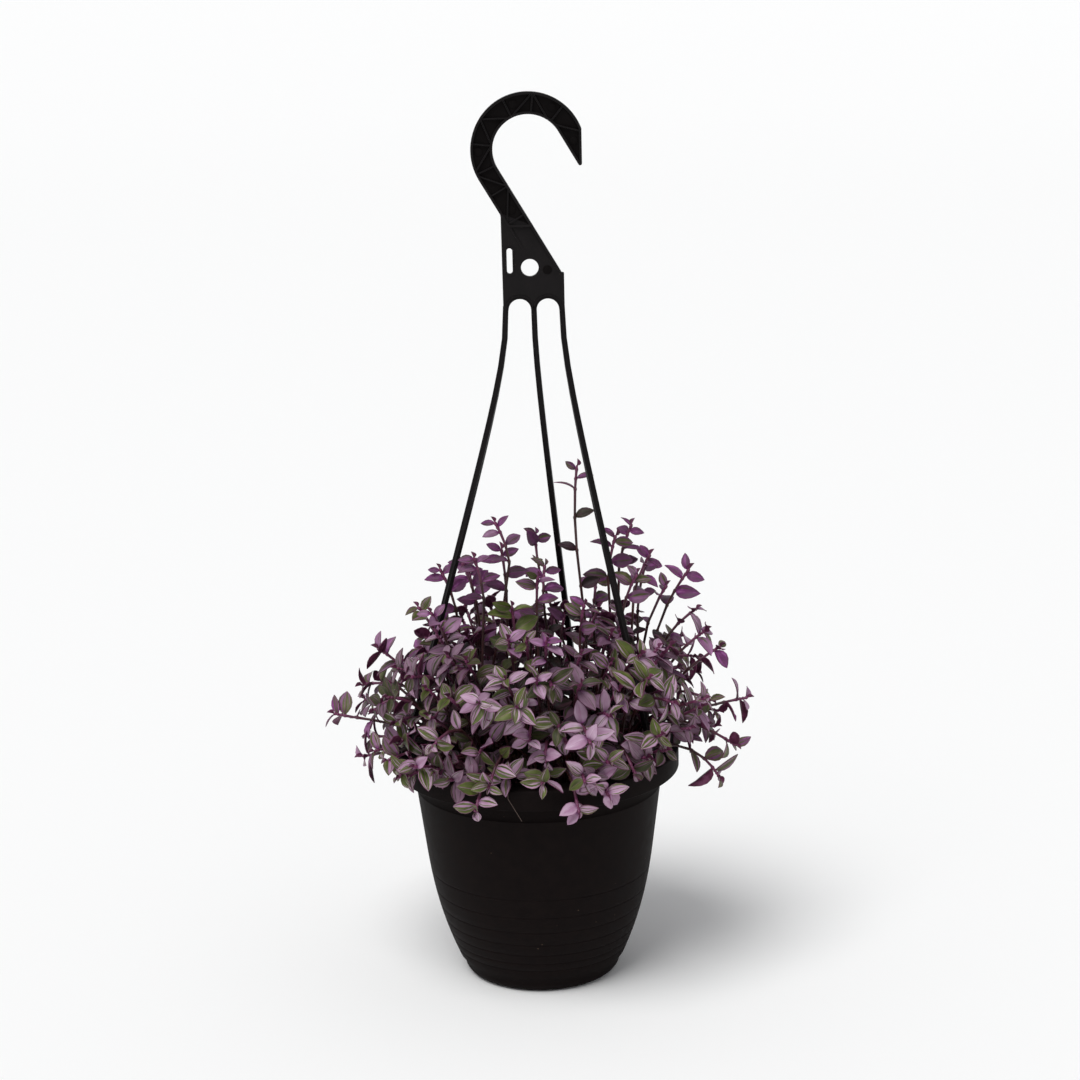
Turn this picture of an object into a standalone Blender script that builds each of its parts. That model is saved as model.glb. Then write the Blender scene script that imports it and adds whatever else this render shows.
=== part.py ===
"""A tradescantia in a round plastic hanging pot.

Metres, +Z up. The origin is the middle of the pot's underside and the front is -Y.
The pieces: a turned pot with a flanged rim, the one-piece moulded hanger (hook, plate and three
strands that clip through the rim), the potting mix, and the plant's shoots. A shoot is a rooted
cutting: its stem and its leaves grew as one, so each is one solid.
"""

import math
import random

import bmesh
import bpy
from mathutils import Matrix, Vector

GAP = 0.0003  # clearance between neighbouring pieces
SMOOTH = 0.6  # the sharpest angle, in radians, that a round piece is shaded smooth over

# Pot, a turned shape
RIM_R = 0.075  # a 15 cm pot
RIM_TOP = 0.1243
SKIRT_DEPTH = 0.0107  # the rim's flange turns down by this much
WALL = 0.0012
NECK_R = 0.0644
STEP_Z = 0.104  # the body stands a little proud below the neck
BODY_R = 0.0652
DRAFT = 0.13  # narrowing of the upper body, per metre of depth
BELLY_Z = 0.070  # below this height the body also curves in
BELLY_IN = 0.0115
BELLY_POWER = 2.3
FOOT_Z = 0.0096  # the foot is a band a little narrower than the body
FOOT_IN = 0.0010
FOOT_ROUND = 0.0058
STEP = 0.0005  # height of the small steps above the foot and below the neck
RIM_EDGE = 0.0009
FLOOR_THICK = 0.0018
INSIDE_IN, INSIDE_ROUND = 0.0012, 0.0055  # how the inside closes in on the floor
TURNS = 48
DRAIN_RING_R, DRAIN_R, DRAINS = 0.025, 0.003, 8

# Hanger, moulded flat in the plane Y = 0, apart from its strands
PLATE_X = 0.0033  # middle of the plate
HOOK_X, HOOK_Z = 0.0021, 0.4388  # centre of the hook's bend
HOOK_OUT_R, HOOK_IN_R = 0.0290, 0.0179
HOOK_THICK, WEB_THICK, EDGE = 0.0052, 0.0018, 0.0012
HOOK_CUT = 20.7  # degrees up from level, where the hook's outer edge turns down to the tip
TIP_CUT = 0.0026  # how much of the sharp tip is rounded away
SHANK_ANGLE = math.radians(59.5)  # slope of the shank's straight edges, and of the tip's
SHANK_LOW_Z = 0.4003  # the shank's recess ends here
PLATE_HALF, PLATE_TOP_Z, PLATE_SIDE_Z, PLATE_LOW_Z = 0.0158, 0.4064, 0.3765, 0.3578
PLATE_THICK = 0.0028
RIDGE_LOW_Z, RIDGE_W = 0.3885, 0.0013
HOLE_X, HOLE_Z, HOLE_R = 0.0017, 0.3794, 0.0045
SLOT_X, SLOT_Z, SLOT_W, SLOT_L = -0.0085, 0.3830, 0.0029, 0.0131
STRAND_PITCH = 0.01435
STRAND_W, STRAND_T = 0.0029, 0.0023
STRAND_STEPS = 16
STRAND_PULL = 1.15  # how much steeper the straight part runs than the line from end to end
STRAND_AZIMUTHS = (187, 71, -31)  # degrees round the rim, for the left, middle and right strand
CLIP_R = 0.0706
CLIP_SLOT = (0.0034, 0.0052)  # radial and tangential size of the hole in the rim
SHOULDER, NECK = (0.0068, 0.0046), (0.0042, 0.0022)  # widths and thicknesses of a strand's clip
BARB, BARB_TIP = (0.0047, 0.0044), (0.0026, 0.0012)
SHOULDER_HIGH, BARB_HIGH = 0.0014, 0.0042

# Potting mix
SOIL_TOP = 0.1125
SOIL_CROWN = 0.003
SOIL_LOOSE = 0.0016  # how far the mix stays off the pot's wall
SOIL_LEVELS = (0.012, 0.035, 0.060, SOIL_TOP)

# Plant
SEED = 11
SOLID_SHOOTS = 54
SOLID_LEAVES = 6  # leaves further down a stem are left to the looks
LEAF_L, LEAF_W = 0.0122, 0.0074
LEAF_THICK = 0.0007
STEM_R = 0.0009
DOME_R, DOME_H, DOME_Z = 0.097, 0.066, 0.131  # the ball of foliage: radius, height, middle
DOME_POWER = 2.7  # 2 is a round ball, and more is squarer
WIDE = 0.0034  # how far shoots keep from one another
LEAF_ARCS = (0.0010, 0.0026, 0.0042, 0.0062, 0.0128, 0.0210, 0.0310, 0.0420)  # back from the tip
LEAF_TURNS = (0, 180, 90, 180, 130, 150, 135, 150)  # degrees round the stem from leaf to leaf
LEAF_SIZES = (0.74, 0.86, 1.06, 1.12, 1.08, 1.0, 0.92, 0.86)
TALL_ARCS = (0.0012, 0.0036, 0.0064, 0.0140, 0.0230, 0.0330, 0.0420, 0.0530)
TALL_Z, TALL_LEAVES = 0.200, 5  # a shoot that stands higher than this is bare further down
LANKY_Z, LANKY = 0.260, 2.0  # and above this its leaves stand this many times further apart
HEART_Z = 0.100  # leaves face away from a point on the axis at this height
TALL_FACE = (0.0, -0.75, 0.1)  # but those of a tall shoot face forwards
LIGHT = (0.0, -0.45, 0.40)  # and towards the light, which came from above and in front
ASLANT = (0.31, 0.17, 0.93)  # a direction that no stem runs along

# Shoots whose tips stand out of the ball, as (tip, root, lean of the tip from upright in degrees)
STANDING_OUT = (
    ((0.024, 0.010, 0.274), (0.022, 0.012), 8),
    ((-0.020, 0.000, 0.247), (-0.024, 0.004), 30),
    ((-0.017, 0.014, 0.229), (-0.012, 0.016), 12),
    ((-0.043, 0.000, 0.223), (-0.032, 0.006), 25),
    ((-0.064, -0.010, 0.212), (-0.040, -0.004), 40),
    ((0.006, 0.024, 0.217), (0.012, 0.026), 35),
    ((0.010, 0.040, 0.231), (0.022, 0.034), 30),
    ((0.044, 0.022, 0.233), (0.040, 0.018), 20),
    ((0.053, 0.030, 0.237), (0.044, 0.032), 30),
    ((0.062, 0.014, 0.224), (0.050, 0.010), 35),
    ((0.083, 0.020, 0.214), (0.052, 0.020), 40),
    ((0.098, 0.002, 0.176), (0.054, 0.002), 60),
    ((0.089, -0.016, 0.190), (0.050, -0.010), 55),
    ((0.111, -0.004, 0.148), (0.052, -0.012), 80),
    ((0.095, -0.024, 0.112), (0.046, -0.026), 150),
    ((-0.108, -0.002, 0.145), (-0.052, -0.002), 75),
    ((-0.086, -0.022, 0.130), (-0.048, -0.014), 100),
    ((-0.066, -0.052, 0.126), (-0.036, -0.034), 105),
    ((-0.032, -0.084, 0.117), (-0.018, -0.046), 140),
    ((-0.022, -0.085, 0.126), (-0.004, -0.048), 115),
    ((0.020, -0.085, 0.116), (0.012, -0.048), 140),
    ((0.035, -0.083, 0.124), (0.026, -0.044), 120),
    ((-0.012, -0.010, 0.204), (-0.008, -0.012), 10),
    ((0.058, -0.052, 0.176), (0.040, -0.034), 58),
    ((0.010, 0.096, 0.136), (0.004, 0.048), 85),
    ((-0.060, 0.076, 0.140), (-0.032, 0.038), 80),
    ((0.066, 0.070, 0.134), (0.036, 0.036), 95),
    ((-0.031, -0.012, 0.231), (-0.026, -0.010), 20),
    ((-0.050, 0.014, 0.219), (-0.036, 0.014), 30),
    ((-0.035, 0.024, 0.216), (-0.026, 0.024), 15),
    ((-0.062, 0.008, 0.200), (-0.042, 0.008), 40),
    ((0.002, -0.004, 0.218), (0.000, -0.002), 10),
    ((0.062, 0.036, 0.220), (0.044, 0.028), 25),
    ((0.054, -0.004, 0.218), (0.042, -0.004), 30),
    ((0.071, 0.020, 0.204), (0.048, 0.016), 35),
    ((0.086, 0.006, 0.196), (0.052, 0.006), 45),
    ((-0.084, 0.006, 0.178), (-0.051, 0.006), 60),
    ((-0.082, -0.020, 0.170), (-0.048, -0.014), 60),
    ((-0.054, -0.022, 0.205), (-0.038, -0.018), 35),
    ((0.034, 0.030, 0.209), (0.030, 0.028), 15),
    ((0.026, -0.014, 0.205), (0.022, -0.014), 15),
    ((0.104, -0.020, 0.128), (0.051, -0.018), 110),
    ((0.080, -0.034, 0.160), (0.046, -0.024), 70),
    ((0.084, -0.042, 0.132), (0.044, -0.030), 100),
    ((-0.096, -0.008, 0.152), (-0.050, -0.010), 70),
    ((-0.078, -0.038, 0.130), (-0.044, -0.028), 105),
    ((-0.074, -0.024, 0.146), (-0.046, -0.022), 85),
    ((0.100, -0.006, 0.166), (0.050, -0.004), 65),
)


SQUARE = ((1, 1), (-1, 1), (-1, -1), (1, -1))  # the corners of a square section


def clear_scene():
    for obj in list(bpy.data.objects):
        bpy.data.objects.remove(obj, do_unlink=True)


def material(name, color, roughness, metallic=0.0):
    made = bpy.data.materials.new(name)
    made.use_nodes = True
    shader = made.node_tree.nodes["Principled BSDF"]
    shader.inputs["Base Color"].default_value = (*color, 1.0)
    shader.inputs["Roughness"].default_value = roughness
    shader.inputs["Metallic"].default_value = metallic
    return made


def add_object(name, bm, finish, smooth=None):
    """Turns the bmesh into an object of that name. smooth is the sharpest angle shaded smooth."""
    mesh = bpy.data.meshes.new(name)
    bm.to_mesh(mesh)
    bm.free()
    if finish:
        mesh.materials.append(finish)
    if smooth is not None:
        mesh.shade_smooth()
        mesh.set_sharp_from_angle(angle=smooth)
    obj = bpy.data.objects.new(name, mesh)
    bpy.context.scene.collection.objects.link(obj)
    return obj


def helper(obj):
    """Marks an object as a tool of the shape and not a piece of it."""
    obj.hide_render = True
    obj.display_type = "WIRE"
    return obj


def boolean(obj, operation, other):
    step = obj.modifiers.new(f"{operation.lower()}_{other.name}", "BOOLEAN")
    step.operation = operation
    step.solver = "EXACT"
    step.object = other


def arc(cx, cz, radius, start, stop, steps):
    """Points on an arc, from start to stop degrees, both included."""
    turns = [math.radians(start + (stop - start) * i / steps) for i in range(steps + 1)]
    return [(cx + radius * math.cos(a), cz + radius * math.sin(a)) for a in turns]


def turned(profile, steps):
    """A bmesh of revolution about Z from a closed profile of (radius, height) points."""
    bm = bmesh.new()
    ring = [bm.verts.new((r, 0, z)) for r, z in profile]
    edges = [bm.edges.new(pair) for pair in zip(ring, ring[1:])]
    bmesh.ops.spin(
        bm,
        geom=ring + edges,
        axis=(0, 0, 1),
        cent=(0, 0, 0),
        angle=math.tau,
        steps=steps,
        use_merge=True,
    )
    bmesh.ops.remove_doubles(bm, verts=bm.verts, dist=1e-6)
    bmesh.ops.recalc_face_normals(bm, faces=bm.faces)
    return bm


def face_outwards(bm):
    """Turns the faces of a closed bmesh outwards, also on a hooked shape."""
    bmesh.ops.recalc_face_normals(bm, faces=bm.faces)
    if bm.calc_volume(signed=True) < 0:
        bmesh.ops.reverse_faces(bm, faces=bm.faces)


def prism(outline, thick, y=0.0):
    """A bmesh of an (x, z) outline, thick along Y about y."""
    bm = bmesh.new()
    face = bm.faces.new([bm.verts.new((x, y - thick / 2, z)) for x, z in outline])
    grown = bmesh.ops.extrude_face_region(bm, geom=[face])["geom"]
    moved = [v for v in grown if isinstance(v, bmesh.types.BMVert)]
    bmesh.ops.translate(bm, vec=(0, thick, 0), verts=moved)
    face_outwards(bm)
    return bm


def joined(*shapes):
    """Several bmeshes as one, which keeps each of their bodies."""
    whole = bmesh.new()
    for shape in shapes:
        mesh = bpy.data.meshes.new("shape")
        shape.to_mesh(mesh)
        whole.from_mesh(mesh)
        bpy.data.meshes.remove(mesh)
        shape.free()
    return whole


def box_bm(size, matrix):
    bm = bmesh.new()
    bmesh.ops.create_cube(bm, size=1.0, matrix=matrix @ Matrix.Diagonal((*size, 1.0)))
    return bm


# ---------------------------------------------------------------- pot


def body_radius(z):
    """Outer radius of the pot's body: a drafted wall that curves in towards the foot."""
    below = max(0.0, (BELLY_Z - z) / BELLY_Z)
    return BODY_R - DRAFT * (STEP_Z - z) - BELLY_IN * below**BELLY_POWER


def foot_radius(z):
    return body_radius(z) - FOOT_IN


def inside_radius(z):
    return body_radius(z) - WALL - FOOT_IN


def pot_profile():
    """Half a section through the pot, from the middle of its underside up and back down inside."""
    outer = [(0.0, 0.0)] + arc(foot_radius(FOOT_ROUND) - FOOT_ROUND, FOOT_ROUND, FOOT_ROUND, -90, 0, 4)
    outer += [(foot_radius(FOOT_Z), FOOT_Z), (body_radius(FOOT_Z), FOOT_Z + STEP)]
    heights = [FOOT_Z + (STEP_Z - FOOT_Z) * i / 7 for i in range(1, 8)]
    outer += [(body_radius(z), z) for z in heights]
    flange_under = RIM_TOP - WALL
    outer += [(NECK_R, STEP_Z + STEP), (NECK_R, flange_under), (RIM_R - WALL, flange_under)]
    outer += [(RIM_R - WALL, RIM_TOP - SKIRT_DEPTH), (RIM_R, RIM_TOP - SKIRT_DEPTH)]
    outer += [(RIM_R, RIM_TOP - RIM_EDGE), (RIM_R - RIM_EDGE, RIM_TOP), (NECK_R - WALL, RIM_TOP)]
    inner = [(inside_radius(z), z) for z in reversed(heights)]
    low_r = inside_radius(FOOT_Z) - INSIDE_IN
    return outer + inner + [(low_r, FOOT_Z), (low_r - INSIDE_ROUND, FLOOR_THICK), (0.0, FLOOR_THICK)]


def around(azimuth, radius, z):
    """A matrix at a point round the axis, its own X pointing outwards."""
    turn = Matrix.Rotation(math.radians(azimuth), 4, "Z")
    return turn @ Matrix.Translation((radius, 0, z))


def pot_cutters():
    """The drain holes in the floor and the three holes that the strands clip through."""
    shapes = []
    for i in range(DRAINS):
        hole = bmesh.new()
        place = around(360 * i / DRAINS, DRAIN_RING_R, FLOOR_THICK / 2)
        bmesh.ops.create_cone(
            hole, cap_ends=True, segments=10, radius1=DRAIN_R, radius2=DRAIN_R, depth=0.01, matrix=place
        )
        shapes.append(hole)
    for azimuth in STRAND_AZIMUTHS:
        shapes.append(box_bm((*CLIP_SLOT, 0.01), around(azimuth, CLIP_R, RIM_TOP)))
    return joined(*shapes)


def make_pot():
    finish = material("pot_plastic", (0.012, 0.011, 0.011), 0.5)
    pot = add_object("pot", turned(pot_profile(), TURNS), finish, SMOOTH)
    boolean(pot, "DIFFERENCE", helper(add_object("pot_holes", pot_cutters(), None)))
    return pot


def make_soil():
    """The potting mix fills the pot to a little below the rim, with a low crown."""
    low_z = FLOOR_THICK + GAP
    low_r = inside_radius(low_z) - INSIDE_IN - INSIDE_ROUND - SOIL_LOOSE
    wall = [(min(inside_radius(z), BODY_R - WALL - FOOT_IN) - SOIL_LOOSE, z) for z in SOIL_LEVELS]
    crown = [(wall[-1][0] * k, SOIL_TOP + SOIL_CROWN * (1 - k * k)) for k in (0.66, 0.33, 0.0)]
    profile = [(0.0, low_z), (low_r, low_z)] + wall + crown
    finish = material("potting_mix", (0.03, 0.018, 0.012), 0.95)
    return add_object("potting_soil", turned(profile, 28), finish, SMOOTH)


# ---------------------------------------------------------------- hanger


def shank_edge(radius, z):
    """A point at height z on the straight edge that touches the hook's circle of that radius."""
    touch_x = HOOK_X - radius * math.sin(SHANK_ANGLE)
    touch_z = HOOK_Z - radius * math.cos(SHANK_ANGLE)
    return touch_x + (touch_z - z) / math.tan(SHANK_ANGLE), z


def hook_outline(tip_cut):
    """The hook and its shank as a flat band. Its last two points are the end of the tip."""
    tangent = 90 - math.degrees(SHANK_ANGLE)
    outside = arc(HOOK_X, HOOK_Z, HOOK_OUT_R, HOOK_CUT, 180 + tangent, 22)
    inside = arc(HOOK_X, HOOK_Z, HOOK_IN_R, 180 + tangent, tangent, 18)
    feet = [shank_edge(HOOK_OUT_R, SHANK_LOW_Z), shank_edge(HOOK_IN_R, SHANK_LOW_Z)]
    tip_x = outside[0][0]
    sharp_z = inside[-1][1] - (tip_x - inside[-1][0]) * math.tan(SHANK_ANGLE)
    across = tip_cut / math.tan(SHANK_ANGLE)
    tip = [(tip_x - across, sharp_z + tip_cut), (tip_x, sharp_z + tip_cut * 1.2)]
    return outside + feet + inside + tip


def shrunk(outline, inset):
    """The outline moved in by inset, each corner along its own bisector."""
    count = len(outline)
    moved = []
    for i, (x, z) in enumerate(outline):
        before = Vector((x - outline[i - 1][0], z - outline[i - 1][1])).normalized()
        after = Vector((outline[(i + 1) % count][0] - x, outline[(i + 1) % count][1] - z)).normalized()
        across = Vector((-(before + after).y, (before + after).x)).normalized()
        reach = inset / max(0.2, across.dot(Vector((-before.y, before.x))))
        moved.append((x + across.x * reach, z + across.y * reach))
    return moved


def hook_bm():
    """The hook with its raised edge and, between the recesses on both sides, its web."""
    outer = hook_outline(TIP_CUT)
    inner = shrunk(hook_outline(0.0)[:-1], EDGE)
    inner.append((inner[-1][0], inner[-1][1] + 0.0002))
    bm = bmesh.new()
    levels = []
    for outline, y in ((outer, HOOK_THICK / 2), (inner, HOOK_THICK / 2), (inner, WEB_THICK / 2)):
        levels.append([[bm.verts.new((x, y * side, z)) for x, z in outline] for side in (-1, 1)])
    (front, back), (front_in, back_in), (front_web, back_web) = levels
    walls = ((front_web, front_in), (front_in, front), (front, back), (back, back_in), (back_in, back_web))
    for one, two in walls:
        for i in range(len(one)):
            j = (i + 1) % len(one)
            bm.faces.new((one[i], one[j], two[j], two[i]))
    bm.faces.new(front_web)
    bm.faces.new(back_web)
    face_outwards(bm)
    return bm


def plate_outline():
    """The plate below the shank, down to the foot of the arches between the strands."""
    left, right = PLATE_X - PLATE_HALF, PLATE_X + PLATE_HALF
    inner = HOOK_IN_R + 0.0003
    points = [shank_edge(HOOK_OUT_R - 0.0002, PLATE_TOP_Z + 0.001), (left, PLATE_TOP_Z - 0.001)]
    points += [(left + 0.0002, PLATE_LOW_Z)]
    for i in (-0.5, 0.5):
        middle = PLATE_X + i * STRAND_PITCH
        points += arc(middle, PLATE_LOW_Z, (STRAND_PITCH - STRAND_W) / 2, 180, 0, 10)
    points += [(right, PLATE_LOW_Z), (right, PLATE_SIDE_Z), shank_edge(inner, PLATE_SIDE_Z + 0.0004)]
    return points + [shank_edge(inner, SHANK_LOW_Z + 0.001)]


def plate_rib(radius, width, low_z):
    """A rib that carries an edge of the shank on down the plate, fading into it."""
    outline = [shank_edge(radius, SHANK_LOW_Z + 0.002), shank_edge(radius, low_z)]
    outline += [shank_edge(radius + width, low_z), shank_edge(radius + width, SHANK_LOW_Z + 0.002)]
    bm = prism(outline, HOOK_THICK - 0.0002)
    for vert in bm.verts:
        if vert.co.z < low_z + 0.001:
            vert.co.y *= (PLATE_THICK + 0.0004) / HOOK_THICK
    return bm


def strand_top(index):
    return Vector((PLATE_X + (index - 1) * STRAND_PITCH, 0.0, PLATE_LOW_Z))


def strand_clip(azimuth):
    turn = math.radians(azimuth)
    return Vector((CLIP_R * math.cos(turn), CLIP_R * math.sin(turn), RIM_TOP))


def strand_point(index, fall):
    """A point on a strand, 0 at the plate and 1 at the rim. Its run outwards is a hyperbola in
    the fall: straight down out of the plate, then pulled straight towards its clip."""
    top, clip = strand_top(index), strand_clip(STRAND_AZIMUTHS[index])
    bend = (STRAND_PULL**2 - 1) / 2
    out = math.hypot(STRAND_PULL * fall, bend) - bend
    return Vector((top.x + (clip.x - top.x) * out, clip.y * out, top.z + (clip.z - top.z) * fall))


def clip_ladder():
    """Heights and sizes down a clip: a shoulder above the rim's flange, a neck through its hole
    and a barb below it."""
    shoulder, under = RIM_TOP + GAP, RIM_TOP - WALL - GAP
    return (
        (shoulder + 2 * SHOULDER_HIGH, (STRAND_W, STRAND_T)),
        (shoulder + SHOULDER_HIGH, SHOULDER),
        (shoulder, SHOULDER),
        (shoulder, NECK),
        (under, NECK),
        (under, BARB),
        (under - BARB_HIGH / 3, BARB),
        (under - BARB_HIGH, BARB_TIP),
    )


def strand_stations(index):
    """Points down a strand, each with its direction, its wide side's direction and its size. The
    strand starts inside the plate and turns to face the rim on its way."""
    turn = math.radians(STRAND_AZIMUTHS[index])
    sideways = Vector((-math.sin(turn), math.cos(turn), 0))
    if sideways.x < 0:
        sideways.negate()
    down = Vector((0, 0, -1))
    size = (STRAND_W, STRAND_T)
    stations = [(strand_top(index) - down * 0.002, down, Vector((1, 0, 0)), size)]
    for i in range(1, STRAND_STEPS):
        fall = i / STRAND_STEPS
        at, step = strand_point(index, fall), 0.5 / STRAND_STEPS
        if at.z > RIM_TOP + 3 * SHOULDER_HIGH:
            ahead = (strand_point(index, fall + step) - strand_point(index, fall - step)).normalized()
            stations.append((at, ahead, Vector((1, 0, 0)).lerp(sideways, fall), size))
    clip = strand_clip(STRAND_AZIMUTHS[index])
    return stations + [(Vector((clip.x, clip.y, z)), down, sideways, size) for z, size in clip_ladder()]


def strand_bm(index):
    """A strand with its clip: a flat bar through all of its stations."""
    bm = bmesh.new()
    rings = []
    for at, ahead, across, (w, t) in strand_stations(index):
        side = (across - ahead * across.dot(ahead)).normalized()
        front = ahead.cross(side)
        corners = [at + side * (w / 2 * a) + front * (t / 2 * b) for a, b in SQUARE]
        rings.append([bm.verts.new(corner) for corner in corners])
    for one, two in zip(rings, rings[1:]):
        for i in range(4):
            bm.faces.new((one[i], one[(i + 1) % 4], two[(i + 1) % 4], two[i]))
    bm.faces.new(rings[0])
    bm.faces.new(rings[-1])
    face_outwards(bm)
    return bm


def plate_holes():
    """The round hole and the slot through the plate."""
    half = (SLOT_L - SLOT_W) / 2
    slot = arc(SLOT_X, SLOT_Z + half, SLOT_W / 2, 0, 180, 5)
    slot += arc(SLOT_X, SLOT_Z - half, SLOT_W / 2, 180, 360, 5)
    ring = arc(HOLE_X, HOLE_Z, HOLE_R, 0, 345, 23)
    return joined(prism(slot, 0.02), prism(ring, 0.02))


def make_hanger():
    finish = material("hanger_plastic", (0.013, 0.012, 0.012), 0.42)
    hanger = add_object("hanger", hook_bm(), finish)
    plate = helper(add_object("plate", prism(plate_outline(), PLATE_THICK), None))
    boolean(plate, "DIFFERENCE", helper(add_object("plate_holes", plate_holes(), None)))
    boolean(hanger, "UNION", plate)
    edge_rib = plate_rib(HOOK_IN_R, EDGE, PLATE_SIDE_Z + 0.0006)
    boolean(hanger, "UNION", helper(add_object("edge_rib", edge_rib, None)))
    ridge = plate_rib(HOOK_OUT_R - EDGE - 0.0001, RIDGE_W - 0.0003, RIDGE_LOW_Z)
    boolean(hanger, "UNION", helper(add_object("ridge", ridge, None)))
    for index, name in enumerate(("left", "middle", "right")):
        boolean(hanger, "UNION", helper(add_object(f"strand_{name}", strand_bm(index), None)))
    return hanger


# ---------------------------------------------------------------- plant

CELL = 0.006
NEAR = [(i, j, k) for i in (-1, 0, 1) for j in (-1, 0, 1) for k in (-1, 0, 1)]


def cell_of(point):
    return (int(point.x // CELL), int(point.y // CELL), int(point.z // CELL))


def occupy(space, points, margin):
    for point in points:
        space.setdefault(cell_of(point), []).append((point, margin))


def is_clear(space, points, gap):
    """True where no point lies within the gap, plus its margin, of anything already placed."""
    for point in points:
        x, y, z = cell_of(point)
        for i, j, k in NEAR:
            for other, margin in space.get((x + i, y + j, z + k), ()):
                if (point - other).length < gap + margin:
                    return False
    return True


def off_pot(point, gap):
    """True where the point keeps the gap from the pot and lies above the potting mix."""
    r = math.hypot(point.x, point.y)
    if point.z > RIM_TOP + gap:
        return True
    if r < inside_radius(STEP_Z) - gap:
        return point.z > SOIL_TOP + SOIL_CROWN * 0.2
    if point.z > RIM_TOP - SKIRT_DEPTH - gap:
        return r > RIM_R + gap
    return r > body_radius(point.z) + gap


def bezier(points, t):
    a, b, c, d = points
    s = 1 - t
    return a * (s * s * s) + b * (3 * s * s * t) + c * (3 * s * t * t) + d * (t * t * t)


def along(path, distance):
    """The point and the direction at a distance back from the end of a path of points."""
    left = distance
    for one, two in zip(reversed(path), reversed(path[:-1])):
        step = (one - two).length
        if left <= step:
            return one.lerp(two, left / step), (one - two).normalized()
        left -= step
    return path[0], (path[1] - path[0]).normalized()


def turn_to_side(path):
    """The turn about the stem's tip that points a leaf sideways, along X."""
    _, tangent = along(path, 0.0)
    across = tangent.cross(Vector(ASLANT)).normalized()
    return math.atan2(tangent.cross(across).x, across.x)


def leaf_at(node, tangent, turn, lean, roll, length, out):
    """A leaf's frame: where it starts, its direction, its upper side and its size."""
    across = tangent.cross(Vector(ASLANT)).normalized()
    side = (across * math.cos(turn) + tangent.cross(across) * math.sin(turn)).normalized()
    ahead = (side * math.sin(lean) + tangent * math.cos(lean)).normalized()
    light = Vector(LIGHT) + tangent * 0.4 + out
    level = (light - ahead * light.dot(ahead)).normalized()
    face = level * math.cos(roll) + ahead.cross(level) * math.sin(roll)
    return {"node": node, "ahead": ahead, "face": face, "length": length, "width": length * LEAF_W / LEAF_L}


def leaf_points(leaf):
    """Points spread over a leaf, for keeping clear of others."""
    side = leaf["ahead"].cross(leaf["face"])
    found = []
    for k, spread in ((0.30, 0.30), (0.55, 0.40), (0.80, 0.22)):
        middle = leaf["node"] + leaf["ahead"] * (leaf["length"] * k)
        found += [middle + side * (leaf["width"] * spread * s) for s in (-1, 0, 1)]
    return found + [leaf["node"] + leaf["ahead"] * leaf["length"]]


def stem_path(tip, root, lean, lift):
    """A stem's curve from its root, which rises from the potting mix and leans over to its tip."""
    out = Vector((tip.x, tip.y, 0)).normalized()
    turn = math.radians(lean)
    heading = out * math.sin(turn) + Vector((0, 0, math.cos(turn)))
    reach = (tip - root).length
    pull = 0.36 * reach if lean < 90 else 0.030
    rise = root + Vector((0, 0, 0.42 * reach + lift)) + out * (0.10 * reach)
    bend = (root, rise, tip - heading * pull + Vector((0, 0, lift * 0.7)), tip)
    steps = max(8, round(reach / 0.002))
    return [bezier(bend, i / steps) for i in range(steps + 1)]


def grow(tip, root, lean, rng, space, gap):
    """One shoot clear of all that is there, or None. Its leaves stand alternately up the stem."""
    size = rng.uniform(0.86, 1.12)
    turn = rng.uniform(0, math.tau)
    tall = tip.z > TALL_Z
    for attempt in range(8):
        path = stem_path(tip, root, lean, 0.004 * attempt)
        stem = path[1:]
        if all(off_pot(p, 0.0016) for p in stem) and is_clear(space, stem, gap + 0.0006):
            break
    else:
        return None
    out = (tip - Vector((0, 0, HEART_Z))).normalized()
    leaves, own = [], {}
    if tall:
        turn = turn_to_side(path) + rng.uniform(-0.5, 0.5)
        out = Vector(TALL_FACE)
    count = TALL_LEAVES if TALL_Z < tip.z < LANKY_Z else len(LEAF_ARCS)
    apart = LANKY if tip.z > LANKY_Z else 1.0
    for index, (spacing, scale) in enumerate(zip((TALL_ARCS if tall else LEAF_ARCS)[:count], LEAF_SIZES)):
        arc_back = spacing * apart
        node, tangent = along(path, arc_back)
        turn += math.radians((180 if tall else LEAF_TURNS[index]) + rng.uniform(-22, 22))
        lean_out = math.radians(rng.uniform(62, 84) - 12 * (index == 0))
        roll = math.radians(rng.gauss(0, 24))
        length = LEAF_L * size * scale * rng.uniform(0.92, 1.08)
        for attempt in range(5):
            leaf = leaf_at(node, tangent, turn + attempt * 1.1, lean_out, roll, length, out)
            points = leaf_points(leaf)
            free = all(off_pot(p, 0.0012) for p in points) and is_clear(space, points, gap)
            if free and is_clear(own, points, 0.0021):
                leaf["arc"] = arc_back
                leaves.append(leaf)
                occupy(own, points, 0.0)
                break
    if len(leaves) < 3:
        return None
    bud, _ = along(path, 0.0)
    occupy(space, stem, 0.0006)
    for leaf in leaves:
        occupy(space, leaf_points(leaf), 0.0)
    occupy(space, [bud], 0.001)
    return {"path": path, "leaves": leaves, "size": size}


def ball_of_shoots():
    """Endless (tip, root, lean) for shoots over the ball, by the golden angle so that they spread."""
    index = 0
    while True:
        index += 1
        turn = index * math.radians(137.508)
        level = 0.98 - 1.20 * ((index * 0.7548777) % 1.0)
        forward = max(0.0, -math.sin(turn))
        level = max(level, -0.22 + 0.24 * forward)
        flat = (1 - abs(level) ** DOME_POWER) ** (1 / DOME_POWER)
        front = 1.0 - 0.10 * forward
        depth = (1.0, 0.86, 0.94)[index % 3]
        reach = DOME_R * front * depth * flat
        tip = Vector((reach * math.cos(turn), reach * math.sin(turn), DOME_Z + DOME_H * depth * level))
        root_r = min(0.055, 0.58 * reach + 0.004)
        root = (root_r * math.cos(turn + 0.12), root_r * math.sin(turn + 0.12))
        yield tip, root, 18 + 119 * math.acos(level) / math.pi


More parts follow.
